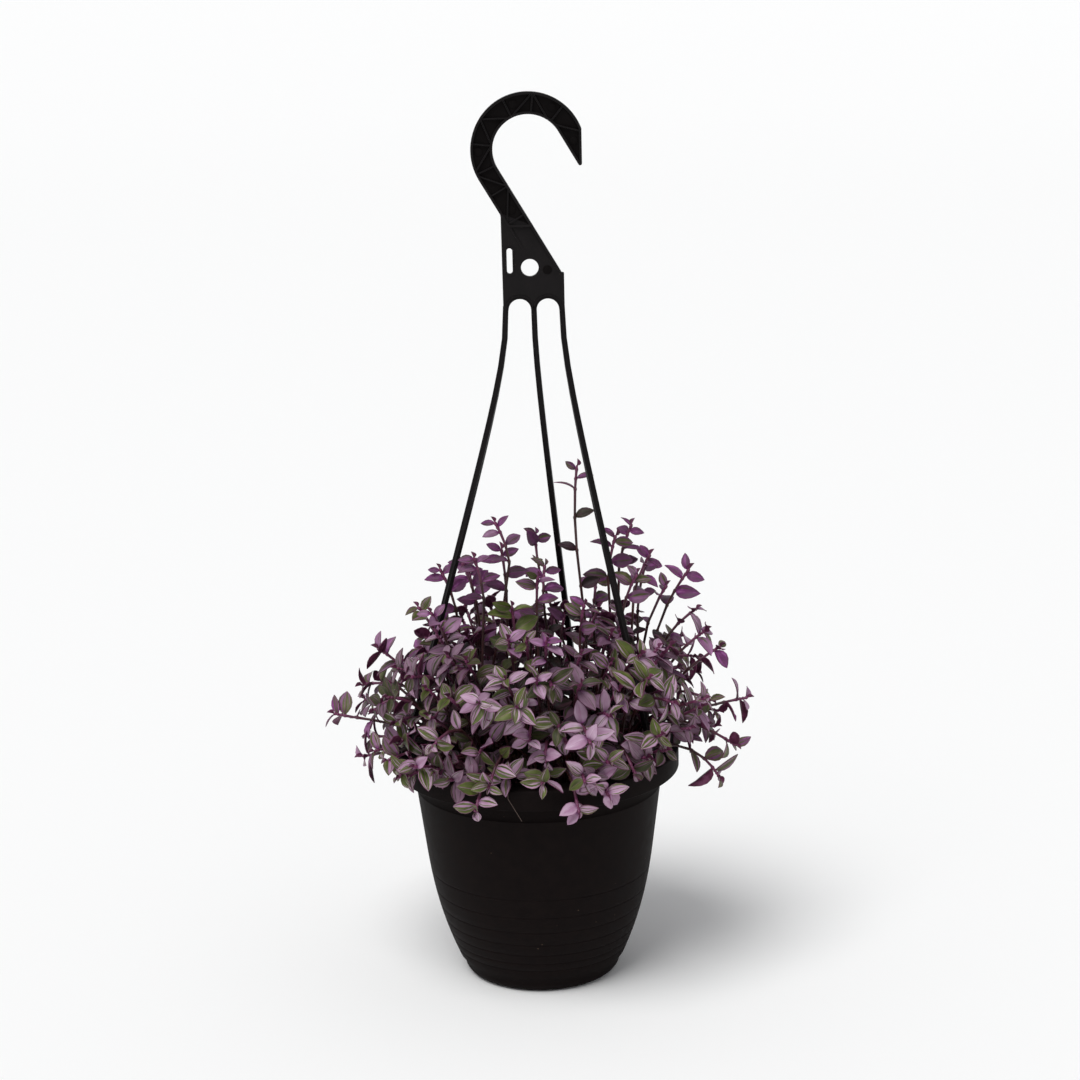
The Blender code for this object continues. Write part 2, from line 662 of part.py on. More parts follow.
def fitted(tip, root, lean, rng, space, gap, tries):
    """A shoot at that tip and root, or a little beside them where they aren't clear, or None."""
    for attempt in range(tries):
        sway = Vector((rng.uniform(-1, 1), rng.uniform(-1, 1), rng.uniform(-1, 1))) * 0.0012 * attempt
        foot = Vector((*root, 0)) + Vector((sway.y, sway.x, 0)) * 1.5
        crown = 1 - (foot.length / (NECK_R - WALL)) ** 2
        foot.z = SOIL_TOP + SOIL_CROWN * max(0.0, crown) + 0.0006
        shoot = grow(tip + sway, foot, lean, rng, space, gap)
        if shoot:
            return shoot
    return None


def plan_shoots(wanted):
    """The shoots in order, each clear of the pot, of the strands and of the shoots before it."""
    rng = random.Random(SEED)
    space = {}
    for index in range(3):
        occupy(space, [strand_point(index, i / 80) for i in range(81)], 0.0020)
    targets = [(Vector(tip), root, lean) for tip, root, lean in STANDING_OUT]
    more = ball_of_shoots()
    shoots = []
    while len(shoots) < wanted:
        tip, root, lean = targets.pop(0) if targets else next(more)
        shoot = fitted(tip, root, lean, rng, space, WIDE, 10)
        if shoot:
            shoots.append(shoot)
    return shoots


def leaf_sections(leaf):
    """Half widths and places of a plain solid leaf: its widest line and its point."""
    return ((0.48, leaf["width"] / 2, LEAF_THICK / 2), (1.0, 0.0005, LEAF_THICK / 3))


def grow_leaf(bm, face, leaf):
    """Draws one side face of the stem out into a leaf."""
    side = leaf["ahead"].cross(leaf["face"])
    for k, half_w, half_t in leaf_sections(leaf):
        middle = leaf["node"] + leaf["ahead"] * (leaf["length"] * k)
        corners = [
            middle + side * (a * half_w) + leaf["face"] * (b * half_t)
            for a, b in SQUARE
        ]
        face = bmesh.ops.extrude_discrete_faces(bm, faces=[face])["faces"][0]
        ring = list(face.verts)
        fits = []
        for order in (corners, corners[::-1]):
            for shift in range(4):
                turned_ring = order[shift:] + order[:shift]
                fits.append((sum((v.co - c).length for v, c in zip(ring, turned_ring)), turned_ring))
        best = min(fits, key=lambda fit: fit[0])[1]
        for vert, corner in zip(ring, best):
            vert.co = corner


def make_shoot(number, shoot, finish):
    """A shoot as one closed solid: a square stem with a leaf drawn out of a side at each node."""
    path = shoot["path"]
    total = sum((b - a).length for a, b in zip(path, path[1:]))
    stops = [(0.0, STEM_R * 0.7, None)]
    for leaf in shoot["leaves"][:SOLID_LEAVES]:
        stops += [(leaf["arc"] - 0.0007, STEM_R * 0.8, None), (leaf["arc"] + 0.0007, STEM_R * 0.85, leaf)]
    last = stops[-1][0]
    bends = max(2, round((total - last) / 0.022))
    stops += [(last + (total - last) * (i + 1) / bends, STEM_R, None) for i in range(bends)]
    bm = bmesh.new()
    rings, across = [], None
    for back, radius, _ in stops:
        at, ahead = along(path, back)
        across = across or ahead.cross(Vector(ASLANT))
        across = (across - ahead * across.dot(ahead)).normalized()
        other = ahead.cross(across)
        corners = [(across * a + other * b) * radius for a, b in SQUARE]
        rings.append([bm.verts.new(at + corner) for corner in corners])
    sides = []
    for (back, _, leaf), one, two in zip(stops[1:], rings, rings[1:]):
        faces = [bm.faces.new((one[i], one[(i + 1) % 4], two[(i + 1) % 4], two[i])) for i in range(4)]
        sides.append((leaf, faces))
    bm.faces.new(rings[0])
    bm.faces.new(rings[-1])
    bmesh.ops.recalc_face_normals(bm, faces=bm.faces)
    for leaf, faces in sides:
        if leaf:
            for face in faces:
                face.normal_update()
            grow_leaf(bm, max(faces, key=lambda f: f.normal.dot(leaf["ahead"])), leaf)
    bmesh.ops.recalc_face_normals(bm, faces=bm.faces)
    return add_object(f"shoot_{number:02d}", bm, finish)


def main():
    clear_scene()
    make_pot()
    make_soil()
    make_hanger()
    leaf_finish = material("leaf", (0.55, 0.32, 0.42), 0.45)
    for number, shoot in enumerate(plan_shoots(SOLID_SHOOTS), 1):
        make_shoot(number, shoot, leaf_finish)


main()
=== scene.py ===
# %% [markdown]
# # A potted tradescantia in a hanging pot
#
# The object is a small-leaved trailing tradescantia in a round plastic pot. The pot hangs from a
# moulded hanger: a flat hook, a plate and three strands that clip through the pot's rim.
# A frame with every solid at its real place is loaded first. The lesson then gives each piece its
# fine shape and its finish, from the pot outwards to the leaves, and leaves the sizes as they are.

# %% Load the frame and measure it
import math
import random

import bmesh
import bpy
from mathutils import Matrix, Vector, noise


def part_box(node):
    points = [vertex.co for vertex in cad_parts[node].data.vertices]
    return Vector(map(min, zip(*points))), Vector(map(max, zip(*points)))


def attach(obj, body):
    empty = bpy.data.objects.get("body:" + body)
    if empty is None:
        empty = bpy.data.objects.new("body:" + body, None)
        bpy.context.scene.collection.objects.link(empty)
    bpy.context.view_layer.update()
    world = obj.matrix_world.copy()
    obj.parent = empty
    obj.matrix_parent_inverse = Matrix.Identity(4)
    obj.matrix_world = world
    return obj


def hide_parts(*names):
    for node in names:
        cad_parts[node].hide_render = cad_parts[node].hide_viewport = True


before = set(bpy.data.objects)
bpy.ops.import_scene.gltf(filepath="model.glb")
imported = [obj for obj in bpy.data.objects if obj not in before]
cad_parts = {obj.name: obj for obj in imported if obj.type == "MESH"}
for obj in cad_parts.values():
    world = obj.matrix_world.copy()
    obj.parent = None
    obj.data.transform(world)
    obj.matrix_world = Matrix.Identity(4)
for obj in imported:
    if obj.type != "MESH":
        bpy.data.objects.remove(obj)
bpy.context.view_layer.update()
pot_high, hanger_high, soil_high = (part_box(name)[1] for name in ("pot", "hanger", "potting_soil"))
solid_shoots = sorted(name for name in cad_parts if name.startswith("shoot_"))
RIM_R, RIM_TOP, TOP_Z = round(pot_high.x, 4), round(pot_high.z, 4), round(hanger_high.z, 4)
print(f"rim {RIM_R * 2000:.0f} mm wide, {RIM_TOP * 1000:.1f} mm up, {len(solid_shoots)} solid shoots")

# %% [markdown]
# ## Helpers
#
# Colours are written as the hex values that a colour picker shows. Those are sRGB, while Blender
# mixes light in linear values, so one function turns the one into the other. A second function
# adds a node, sets its values and wires its inputs, so that a material reads like a recipe.

# %% Helpers for colours and nodes
SMOOTH = {"interpolation_type": "SMOOTHSTEP"}
COLORS = {"data_type": "RGBA"}


def color(hex_code):
    """An sRGB hex value such as #d8c2cf as linear red, green, blue and alpha."""
    parts = [int(hex_code[i : i + 2], 16) / 255 for i in (1, 3, 5)]
    return (*[p / 12.92 if p <= 0.04045 else ((p + 0.055) / 1.055) ** 2.4 for p in parts], 1.0)


def wire(tree, node, **inputs):
    """Sets inputs, each named by its label or number, to a value or to another node's output. A
    node given as a value stands for its first output."""
    for name, value in inputs.items():
        key = int(name[1:]) if name[0] == "i" and name[1:].isdigit() else name.replace("_", " ")
        if isinstance(value, bpy.types.Node):
            value = next(socket for socket in value.outputs if socket.enabled)
        if isinstance(value, bpy.types.NodeSocket):
            tree.links.new(value, node.inputs[key])
        else:
            node.inputs[key].default_value = value
    return node


def add(tree, kind, settings=None, stops=(), **inputs):
    """Adds a node with those settings and inputs. Stops are the (place, hex colour) pairs of a
    colour ramp."""
    node = tree.nodes.new(f"ShaderNode{kind}")
    for name, value in (settings or {}).items():
        setattr(node, name, value)
    if stops:
        elements = node.color_ramp.elements
        while len(elements) < len(stops):
            elements.new(0.5)
        for element, (position, hex_code) in zip(elements, stops):
            element.position, element.color = position, color(hex_code)
    return wire(tree, node, **inputs)


def new_material(name, **inputs):
    """A material with those values on its Principled shader, its node tree and the shader."""
    made = bpy.data.materials.new(name)
    made.use_nodes = True
    tree = made.node_tree
    return made, tree, wire(tree, tree.nodes["Principled BSDF"], **inputs)


# %% [markdown]
# A shape is made as a bmesh, with a few operators. Then it becomes the mesh of an object, which
# gets its finishes, rides with the pot and hides the solids that it stands for.

# %% Helpers for pieces and shapes
def as_mesh(bm, name):
    """Turns a bmesh into a mesh and frees it."""
    mesh = bpy.data.meshes.new(name)
    bm.to_mesh(mesh)
    bm.free()
    return mesh


def put(name, data):
    """A new object in the scene."""
    obj = bpy.data.objects.new(name, data)
    bpy.context.scene.collection.objects.link(obj)
    return obj


def piece(name, bm, finishes, replaced=(), smooth=40):
    """Turns a bmesh into a finished piece that rides with the pot."""
    mesh = as_mesh(bm, name)
    for finish in finishes:
        mesh.materials.append(finish)
    mesh.shade_smooth()
    mesh.set_sharp_from_angle(angle=math.radians(smooth))
    obj = put(name, mesh)
    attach(obj, "root")
    if replaced:
        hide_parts(*replaced)
    return obj


def outwards(bm):
    """Merges doubles and turns all faces outwards."""
    bmesh.ops.remove_doubles(bm, verts=bm.verts, dist=1e-6)
    bmesh.ops.recalc_face_normals(bm, faces=bm.faces)
    if bm.calc_volume(signed=True) < 0:
        bmesh.ops.reverse_faces(bm, faces=bm.faces)


def arc(x, z, radius, start, stop, steps):
    """Points on an arc, from start to stop degrees, both included."""
    turns = [math.radians(start + (stop - start) * i / steps) for i in range(steps + 1)]
    return [(x + radius * math.cos(a), z + radius * math.sin(a)) for a in turns]


def turned(profile, steps):
    """A bmesh spun about Z from a profile that starts on the axis."""
    bm = bmesh.new()
    ring = [bm.verts.new((r, 0, z)) for r, z in profile]
    edges = [bm.edges.new(pair) for pair in zip(ring, ring[1:])]
    bmesh.ops.spin(
        bm, geom=ring + edges, axis=(0, 0, 1), cent=(0, 0, 0),
        angle=math.tau, steps=steps, use_merge=True,
    )
    outwards(bm)
    return bm


def disc(bm, place, radius, depth, segments):
    """A short cylinder, its axis along Z before it is placed."""
    bmesh.ops.create_cone(
        bm, cap_ends=True, segments=segments, radius1=radius, radius2=radius,
        depth=depth, matrix=place,
    )


# %% [markdown]
# ## The camera, the floor and the light
#
# The pot is seen from a little above the height of its hook, from about one and a quarter metres,
# and the camera is rolled by a degree, so that the hanger leans to the left. A long lens keeps the
# pot's sides nearly parallel. The light is that of a white tent: a pale sky from all round and one
# wide soft sun above, because dark matte plastic shows its shape only by broad reflections. The
# floor is a sheet of paper that rises gently far away, so that no horizon shows from any side.

# %% Camera, floor and light
CAMERA_AT = Vector((0.0037, -1.255, 0.539))
CAMERA_DOWN, CAMERA_ROLL = 13.55, 1.32  # degrees
LENS = 82.3  # mm, on a sensor 36 mm wide

camera_data = bpy.data.cameras.new("camera")
camera_data.lens, camera_data.sensor_width = LENS, 36.0
camera = put("camera", camera_data)
tilt = Matrix.Rotation(math.radians(90 - CAMERA_DOWN), 4, "X")
roll = Matrix.Rotation(math.radians(-CAMERA_ROLL), 4, "Z")
camera.matrix_world = Matrix.Translation(CAMERA_AT) @ (tilt @ roll)
bpy.context.scene.camera = camera
bpy.context.scene.view_settings.view_transform = "Standard"

FLAT_R, RISE, ROUND_R = 4.0, 0.2, 10.0  # metres flat, the slope further out, and how slowly it starts
floor_line = []
for r in (0, 2, FLAT_R, 5, 6, 8, 10, 14, 20, 30, 45, 60):
    past = max(0.0, r - FLAT_R)
    floor_line.append((r, RISE * past * past / (past + ROUND_R)))
floor_bm = turned(floor_line, 96)
floor_bm.normal_update()
floor_bm.faces.ensure_lookup_table()
if floor_bm.faces[0].normal.z < 0:
    bmesh.ops.reverse_faces(floor_bm, faces=floor_bm.faces)
floor = put("floor", as_mesh(floor_bm, "floor"))
floor.data.shade_smooth()
matt = {"Roughness": 0.95, "Specular_IOR_Level": 0.1}
floor.data.materials.append(
    new_material("matt_white_paper", Base_Color=color("#fbfbfa"), **matt)[0]
)

world = bpy.data.worlds.new("white_tent")
bpy.context.scene.world = world
world.use_nodes = True
sky = world.node_tree.nodes["Background"].inputs
sky["Color"].default_value, sky["Strength"].default_value = color("#f6f7fa"), 0.44

SUN_FROM = Vector((-0.7, -1.1, 2.4))
sun_data = bpy.data.lights.new("soft_sun", "SUN")
sun_data.energy, sun_data.angle = 2.1, math.radians(35)
put("soft_sun", sun_data).matrix_world = SUN_FROM.to_track_quat("Z", "Y").to_matrix().to_4x4()
print("camera, floor and light made")

# %% [markdown]
# ## Moulded polypropylene
#
# The pot and the hanger are injection moulded polypropylene, dyed black. Its refractive index is
# about 1.49. The mould's surface is finely eroded, so the pot is matt: a broad dim sheen with a
# slight mottle, and no mirror image. Handling and dry compost leave pale dust specks. The hanger
# comes from a smoother mould, so it is the same recipe with a lower roughness and less dust. The
# floors of its recesses and its round marks are matter still, and their darker colour is painted shade.


# %% Materials of the pot and the hanger
def polypropylene(name, tone, worn, roughness, dust, gloss):
    """Black polypropylene: a mottle about 6 mm wide, an eroded grain of 0.5 mm and dust specks."""
    made, tree, shader = new_material(name, IOR=1.49, Specular_IOR_Level=gloss)
    place = add(tree, "TexCoord").outputs["Object"]
    mottle = add(tree, "TexNoise", Vector=place, Scale=160.0, Detail=3.0, Roughness=0.6)
    grain = add(tree, "TexNoise", Vector=place, Scale=2000.0, Detail=2.0)
    specks = add(tree, "TexVoronoi", Vector=place, Scale=170.0, Randomness=1.0)
    sparse = add(tree, "TexNoise", Vector=place, Scale=60.0, Detail=1.0)
    near = add(tree, "MapRange", SMOOTH, Value=specks, i1=0.03, i2=0.06, i3=1.0, i4=0.0)
    here = add(tree, "MapRange", Value=sparse, i1=0.56, i2=0.60, i3=0.0, i4=dust)
    dusty = add(tree, "Math", {"operation": "MULTIPLY"}, i0=near, i1=here)
    body = add(tree, "ValToRGB", stops=((0.3, tone), (0.75, worn)), Fac=mottle)
    dusted = add(tree, "Mix", COLORS, Factor=dusty, A=body, B=color("#6e5d4e"))
    low, high = roughness - 0.06, roughness + 0.08
    rough = add(tree, "MapRange", Value=mottle, i1=0.2, i2=0.8, i3=low, i4=high)
    bump = add(tree, "Bump", Strength=0.12, Distance=0.0002, Height=grain)
    wire(tree, shader, Base_Color=dusted, Roughness=rough, Normal=bump)
    return made


pot_finish = polypropylene("moulded_black_polypropylene", "#0f0a0a", "#16100f", 0.62, 0.7, 0.05)
hanger_finish = polypropylene("smooth_black_polypropylene", "#0e0b0c", "#141011", 0.46, 0.2, 0.14)
# The floors of the hanger's recesses and its round marks: matter, and darker by painted shade
painted_shade_recess_finish = polypropylene("black_polypropylene_with_painted_shade", "#0b0808", "#100d0d", 0.66, 0.1, 0.06)
print("plastics:", pot_finish.name, hanger_finish.name, painted_shade_recess_finish.name)

# %% [markdown]
# ## The pot
#
# A pot like this is moulded between two turned halves, so its shape is a profile spun about its
# axis. The profile is drawn as the mould maker would: a rounded foot, a body that curves in towards
# it, fine grooves that ring the body and lie closer together lower down, a small step, and a flange
# that turns down at its edge. Spinning gives clean even faces, which a sculpted shape wouldn't.

# %% Profile of the pot
WALL = 0.0012
SKIRT_DEPTH = 0.0107
NECK_R, STEP_Z, BODY_R = 0.0644, 0.104, 0.0652
DRAFT = 0.13  # the upper body narrows by this much per metre of depth
BELLY_Z, BELLY_IN, BELLY_POWER = 0.070, 0.0115, 2.3
FOOT_Z, FOOT_IN, FOOT_ROUND, FLOOR_THICK = 0.0096, 0.0010, 0.0058, 0.0018
GROOVE_TOP_Z, GROOVE_STEP, GROOVE_RATIO, GROOVES = 0.0590, 0.0107, 0.85, 8
GROOVE_DEEP, GROOVE_HALF = 0.0003, 0.0007


def body_radius(z):
    """Outer radius of the pot's body: a drafted wall that curves in towards the foot."""
    below = max(0.0, (BELLY_Z - z) / BELLY_Z)
    return BODY_R - DRAFT * (STEP_Z - z) - BELLY_IN * below**BELLY_POWER


def inside_radius(z):
    """Inner radius of the pot's body."""
    return body_radius(z) - WALL - FOOT_IN


def groove_heights():
    """Heights of the grooves from the top down, each gap a little smaller than the last."""
    z, step = GROOVE_TOP_Z, GROOVE_STEP
    for _ in range(GROOVES):
        yield z
        z, step = z - step, step * GROOVE_RATIO


def pot_profile():
    """The closed profile of the pot as (radius, height), from the middle of the underside out."""
    low_r = body_radius(FOOT_ROUND) - FOOT_IN - FOOT_ROUND
    points = [(0.0, 0.0), (low_r * 0.5, 0.0)] + arc(low_r, FOOT_ROUND, FOOT_ROUND, -90, 0, 8)
    points += [(body_radius(FOOT_Z) - FOOT_IN, FOOT_Z - 0.0004), (body_radius(FOOT_Z), FOOT_Z)]
    heights = set(FOOT_Z + 0.0006 + (STEP_Z - FOOT_Z - 0.0008) * i / 26 for i in range(27))
    grooves = [z for z in groove_heights() if z > FOOT_Z + 2 * GROOVE_HALF]
    heights = {z for z in heights if all(abs(z - g) > 1.6 * GROOVE_HALF for g in grooves)}
    across = (-1, -0.35, 0, 0.35, 1)
    cuts = {g + k * GROOVE_HALF: (1 - abs(k)) * GROOVE_DEEP for g in grooves for k in across}
    for z in sorted(heights | set(cuts)):
        points.append((body_radius(z) - cuts.get(z, 0.0), z))
    under = RIM_TOP - WALL
    points += [(BODY_R - 0.0001, STEP_Z - 0.0001), (BODY_R - 0.0003, STEP_Z + 0.0003)]
    points += [(NECK_R + 0.0002, STEP_Z + 0.0010), (NECK_R, STEP_Z + 0.0030), (NECK_R, under - 0.0008)]
    points += [(NECK_R + 0.0008, under), (RIM_R - WALL - 0.0006, under), (RIM_R - WALL, under - 0.0006)]
    points.append((RIM_R - WALL, RIM_TOP - SKIRT_DEPTH))
    points += [(RIM_R - 0.0002, RIM_TOP - SKIRT_DEPTH), (RIM_R, RIM_TOP - SKIRT_DEPTH + 0.0002)]
    points += arc(RIM_R - 0.0009, RIM_TOP - 0.0009, 0.0009, 0, 90, 4)
    points += arc(NECK_R - WALL + 0.0007, RIM_TOP - 0.0007, 0.0007, 90, 180, 3)
    inner = [(NECK_R - WALL, 0.110)]
    inner += [(inside_radius(z), z) for z in (0.104, 0.08, 0.06, 0.04, 0.02, 0.012)]
    return points + inner + [(inner[-1][0] - 0.0055, FLOOR_THICK), (0.0, FLOOR_THICK)]


# %% [markdown]
# Drain holes ring the middle of the floor, and three small windows in the flange take the clips of
# the strands. Such holes go right through curved and flat walls, so they are cut with a Boolean:
# the cutters are made as bmesh shapes, used once and removed.

# %% Make the pot
STRAND_AZIMUTHS = (187, 71, -31)  # degrees round the rim: left, middle and right strand
CLIP_R, CLIP_SLOT = 0.0706, (0.0034, 0.0052)
DRAIN_RING_R, DRAIN_R, DRAINS = 0.025, 0.003, 8


def around(azimuth, radius, z):
    """A matrix at a point round the axis, its own X pointing outwards."""
    return Matrix.Rotation(math.radians(azimuth), 4, "Z") @ Matrix.Translation((radius, 0, z))


def cut(obj, cutter_bm):
    """Takes the cutter's shapes away from the object's mesh."""
    cutter = put("cutter", as_mesh(cutter_bm, "cutter"))
    step = obj.modifiers.new("holes", "BOOLEAN")
    step.operation, step.solver, step.object = "DIFFERENCE", "EXACT", cutter
    ready = obj.evaluated_get(bpy.context.evaluated_depsgraph_get())
    whole = bpy.data.meshes.new_from_object(ready)
    obj.modifiers.clear()
    obj.data = whole
    bpy.data.objects.remove(cutter)


def hole_cutters():
    """Round cutters for the drain holes and boxes for the windows in the flange."""
    bm = bmesh.new()
    for i in range(DRAINS):
        disc(bm, around(360 * i / DRAINS, DRAIN_RING_R, 0), DRAIN_R, 0.01, 24)
    for azimuth in STRAND_AZIMUTHS:
        size = Matrix.Diagonal((*CLIP_SLOT, 0.008, 1.0))
        bmesh.ops.create_cube(bm, size=1.0, matrix=around(azimuth, CLIP_R, RIM_TOP) @ size)
    return bm


pot = piece("turned_pot", turned(pot_profile(), 144), [pot_finish], ["pot"], smooth=24)
cut(pot, hole_cutters())
print("pot:", len(pot.data.polygons), "faces,", len(list(groove_heights())), "grooves")

# %% [markdown]
# ## Potting mix
#
# The pot is filled to a little below its rim with coir and bark fines. Only its top ever shows,
# between the stems. A turned solid with a bumpy top gives the bulk, and loose crumbs of bark, as
# squashed icospheres, break up the surface. Dry coir is rough and has hardly any sheen.

# %% Potting mix
SOIL_TOP, SOIL_CROWN = 0.1125, 0.003
CRUMBS = 190
COIR_TONES = ((0.3, "#120c09"), (0.55, "#2a1c14"), (0.72, "#4a3626"))

mix_finish, tree, shader = new_material("coir_potting_mix", Roughness=0.95, Specular_IOR_Level=0.15)
place = add(tree, "TexCoord").outputs["Object"]
clods = add(tree, "TexNoise", Vector=place, Scale=330.0, Detail=5.0, Roughness=0.7)
tone = add(tree, "ValToRGB", stops=COIR_TONES, Fac=clods)
crumbly = add(tree, "Bump", Strength=0.8, Distance=0.0008, Height=clods)
wire(tree, shader, Base_Color=tone, Normal=crumbly)


def mix_top(radius):
    """Height of the potting mix, a little lower at the wall than in the middle."""
    return SOIL_TOP + SOIL_CROWN * (1 - (radius / (NECK_R - WALL)) ** 2)


def make_mix():
    """A turned fill with a lumpy top, under loose crumbs."""
    rng = random.Random(5)
    edge = soil_high.x
    walls = [(inside_radius(z) - 0.0016, z) for z in (0.012, 0.035, 0.060, 0.085)]
    floor_z = FLOOR_THICK + 0.0003
    profile = [(0.0, floor_z), (walls[0][0] - 0.0065, floor_z)] + walls
    profile += [(edge * (1 - i / 22), mix_top(edge * (1 - i / 22)) - 0.001) for i in range(23)]
    bm = turned(profile, 90)
    for vert in bm.verts:
        if vert.co.z > SOIL_TOP - 0.004:
            vert.co.z += 0.0016 * noise.fractal(vert.co * 260, 0.8, 2.0, 3)
    for _ in range(CRUMBS):
        r, turn = edge * 0.97 * math.sqrt(rng.random()), rng.uniform(0, math.tau)
        size = [rng.uniform(0.0005, 0.0017) for _ in range(3)]
        tumbled = Matrix.Rotation(rng.uniform(0, 3), 4, (rng.random(), rng.random(), 1))
        place = around(math.degrees(turn), r, mix_top(r) - 0.0004) @ tumbled
        place = place @ Matrix.Diagonal((*size, 1))
        bmesh.ops.create_icosphere(bm, subdivisions=1, radius=1.0, matrix=place)
    return bm


mix = piece("lumpy_potting_mix", make_mix(), [mix_finish], ["potting_soil"], smooth=50)
print("potting mix:", len(mix.data.polygons), "faces")

# %% [markdown]
# ## The hook
#
# The hook is a flat band of plastic, and like most moulded parts it is thin: a raised edge and a
# lattice of ribs stand on a web, so that it is stiff and cools evenly. The outline is arcs and
# straight runs. One loop of edges is extruded in steps: from the web up to the raised edge, which
# is the outline moved in by the edge's width, and round to the other face. Ribs and the round
# marks of the ejector pins are set into the recess.

# %% Outline of the hook
PLATE_X = 0.0033
HOOK_OUT_R, HOOK_IN_R = 0.0290, 0.0179
HOOK_X, HOOK_Z = 0.0021, TOP_Z - HOOK_OUT_R
HOOK_THICK, WEB_THICK, EDGE = 0.0052, 0.0018, 0.0012
HOOK_CUT, TIP_CUT, TIP_STEPS = 20.7, 0.0026, 4
SHANK_ANGLE = math.radians(59.5)
SHANK_LOW_Z = 0.4003


def shank_edge(radius, z):
    """A point at height z on the straight edge that touches the hook's circle of that radius."""
    touch_x = HOOK_X - radius * math.sin(SHANK_ANGLE)
    touch_z = HOOK_Z - radius * math.cos(SHANK_ANGLE)
    return touch_x + (touch_z - z) / math.tan(SHANK_ANGLE), z


def hook_outline(tip_cut):
    """The hook and its shank as a flat band, which ends with the tip's rounding."""
    tangent = 90 - math.degrees(SHANK_ANGLE)
    outside = arc(HOOK_X, HOOK_Z, HOOK_OUT_R, HOOK_CUT, 180 + tangent, 44)
    inside = arc(HOOK_X, HOOK_Z, HOOK_IN_R, 180 + tangent, tangent, 36)
    feet = [shank_edge(HOOK_OUT_R, SHANK_LOW_Z), shank_edge(HOOK_IN_R, SHANK_LOW_Z)]
    tip_x = outside[0][0]
    sharp_z = inside[-1][1] - (tip_x - inside[-1][0]) * math.tan(SHANK_ANGLE)
    radius = tip_cut / (1 / math.tan(math.radians(tangent / 2)) - 1)
    tip = arc(tip_x - radius, sharp_z + tip_cut + radius, radius, 180 + tangent, 360, TIP_STEPS)
    return outside + feet + inside + tip


def shrunk(outline, inset):
    """The outline moved in by inset, each corner along its own bisector."""
    count = len(outline)
    moved = []
    for i, (x, z) in enumerate(outline):
        before = Vector((x - outline[i - 1][0], z - outline[i - 1][1])).normalized()
        after = Vector((outline[(i + 1) % count][0] - x, outline[(i + 1) % count][1] - z)).normalized()
        across = Vector((-(before + after).y, (before + after).x)).normalized()
        reach = inset / max(0.2, across.dot(Vector((-before.y, before.x))))
        moved.append((x + across.x * reach, z + across.y * reach))
    return moved


# %% [markdown]
# The body is that outline, extruded from level to level. The points of every level are numbered
# alike, so each point knows its place in the next one. The floors of the recess then get the
# darker finish, which is painted shade.

# %% Body of the hook
def lofted(rings, capped=True):
    """A solid through rings of equally many points: a loop of edges extruded from ring to ring."""
    bm = bmesh.new()
    number = bm.verts.layers.int.new("number")
    ring = [bm.verts.new(point) for point in rings[0]]
    for i, vert in enumerate(ring):
        vert[number] = i
    edges = [bm.edges.new(pair) for pair in zip(ring, ring[1:] + ring[:1])]
    if capped:
        bmesh.ops.contextual_create(bm, geom=edges)
    for points in rings[1:]:
        grown = bmesh.ops.extrude_edge_only(bm, edges=edges)["geom"]
        edges = [g for g in grown if isinstance(g, bmesh.types.BMEdge)]
        for vert in {v for edge in edges for v in edge.verts}:
            vert.co = points[vert[number]]
    if capped:
        bmesh.ops.contextual_create(bm, geom=edges)
    bm.verts.layers.int.remove(number)
    outwards(bm)
    return bm


def stepped(levels, capped=True):
    """A solid from (outline, depth) levels."""
    return lofted([[(x, y, z) for x, z in outline] for outline, y in levels], capped)


def bevelled(bm, width, sharpest=50):
    """Rounds the edges sharper than that many degrees."""
    sharp = [e for e in bm.edges if e.calc_face_angle(0) > math.radians(sharpest)]
    bmesh.ops.bevel(
        bm, geom=sharp, offset=width, segments=2, profile=0.5,
        affect="EDGES", material=-1, clamp_overlap=True,
    )
    return bm


def joined(shapes):
    """Several bmeshes as one."""
    whole = bmesh.new()
    for shape in shapes:
        mesh = as_mesh(shape, "shape")
        whole.from_mesh(mesh)
        bpy.data.meshes.remove(mesh)
    return whole


def hook_body():
    """The hook with a raised edge all round and a recess on both faces."""
    face, web = HOOK_THICK / 2, WEB_THICK / 2
    outer = hook_outline(TIP_CUT)
    inner = shrunk(hook_outline(0.0)[:-TIP_STEPS], EDGE)
    inner += [(inner[-1][0], inner[-1][1] + 0.0002 * (step + 1)) for step in range(TIP_STEPS)]
    deep = shrunk(inner, 0.00015)
    levels = ((deep, -web), (inner, -face), (outer, -face), (outer, face), (inner, face), (deep, web))
    bm = bevelled(stepped(levels), 0.00018, 70)
    for side in bm.faces:
        # Faces at the web's level take finish 1, darker by painted shade in the recess
        side.material_index = int(all(abs(vert.co.y) < web + 0.0001 for vert in side.verts))
    return bm


# %% [markdown]
# The ribs zigzag between the edges. Each is named by where it starts and ends: a turn in degrees
# on the inner or outer edge of the bend, or a distance down the straight shank. A rib narrows a
# little towards its crest, as every moulded rib does, so that it lets go of the mould.

# %% Ribs and round marks of the hook
RIB_WIDE, RIB_CREST = 0.0010, 0.0006
RIB_LOW = 0.0004  # the ribs end this far below the hook's raised edge
INNER, OUTER = HOOK_IN_R + EDGE / 2, HOOK_OUT_R - EDGE / 2
MARK_R = 0.0021
# Places of the ejector marks in the hook's recess, as (x, height below the hook's top)
HOOK_MARKS = (
    (-0.0048, 0.0060), (0.0147, 0.0080), (0.0252, 0.0247), (-0.0228, 0.0293), (-0.0069, 0.0587),
)


def on_bend(radius, turn):
    """A point on the hook's bend."""
    angle = math.radians(turn)
    return HOOK_X + radius * math.cos(angle), HOOK_Z + radius * math.sin(angle)


def on_shank(across, down):
    """A point on the shank: 0 across is its inner edge, 1 its outer edge."""
    radius = INNER + (OUTER - INNER) * across
    x, z = on_bend(radius, 180 + 90 - math.degrees(SHANK_ANGLE))
    return x + down * math.cos(SHANK_ANGLE), z - down * math.sin(SHANK_ANGLE)


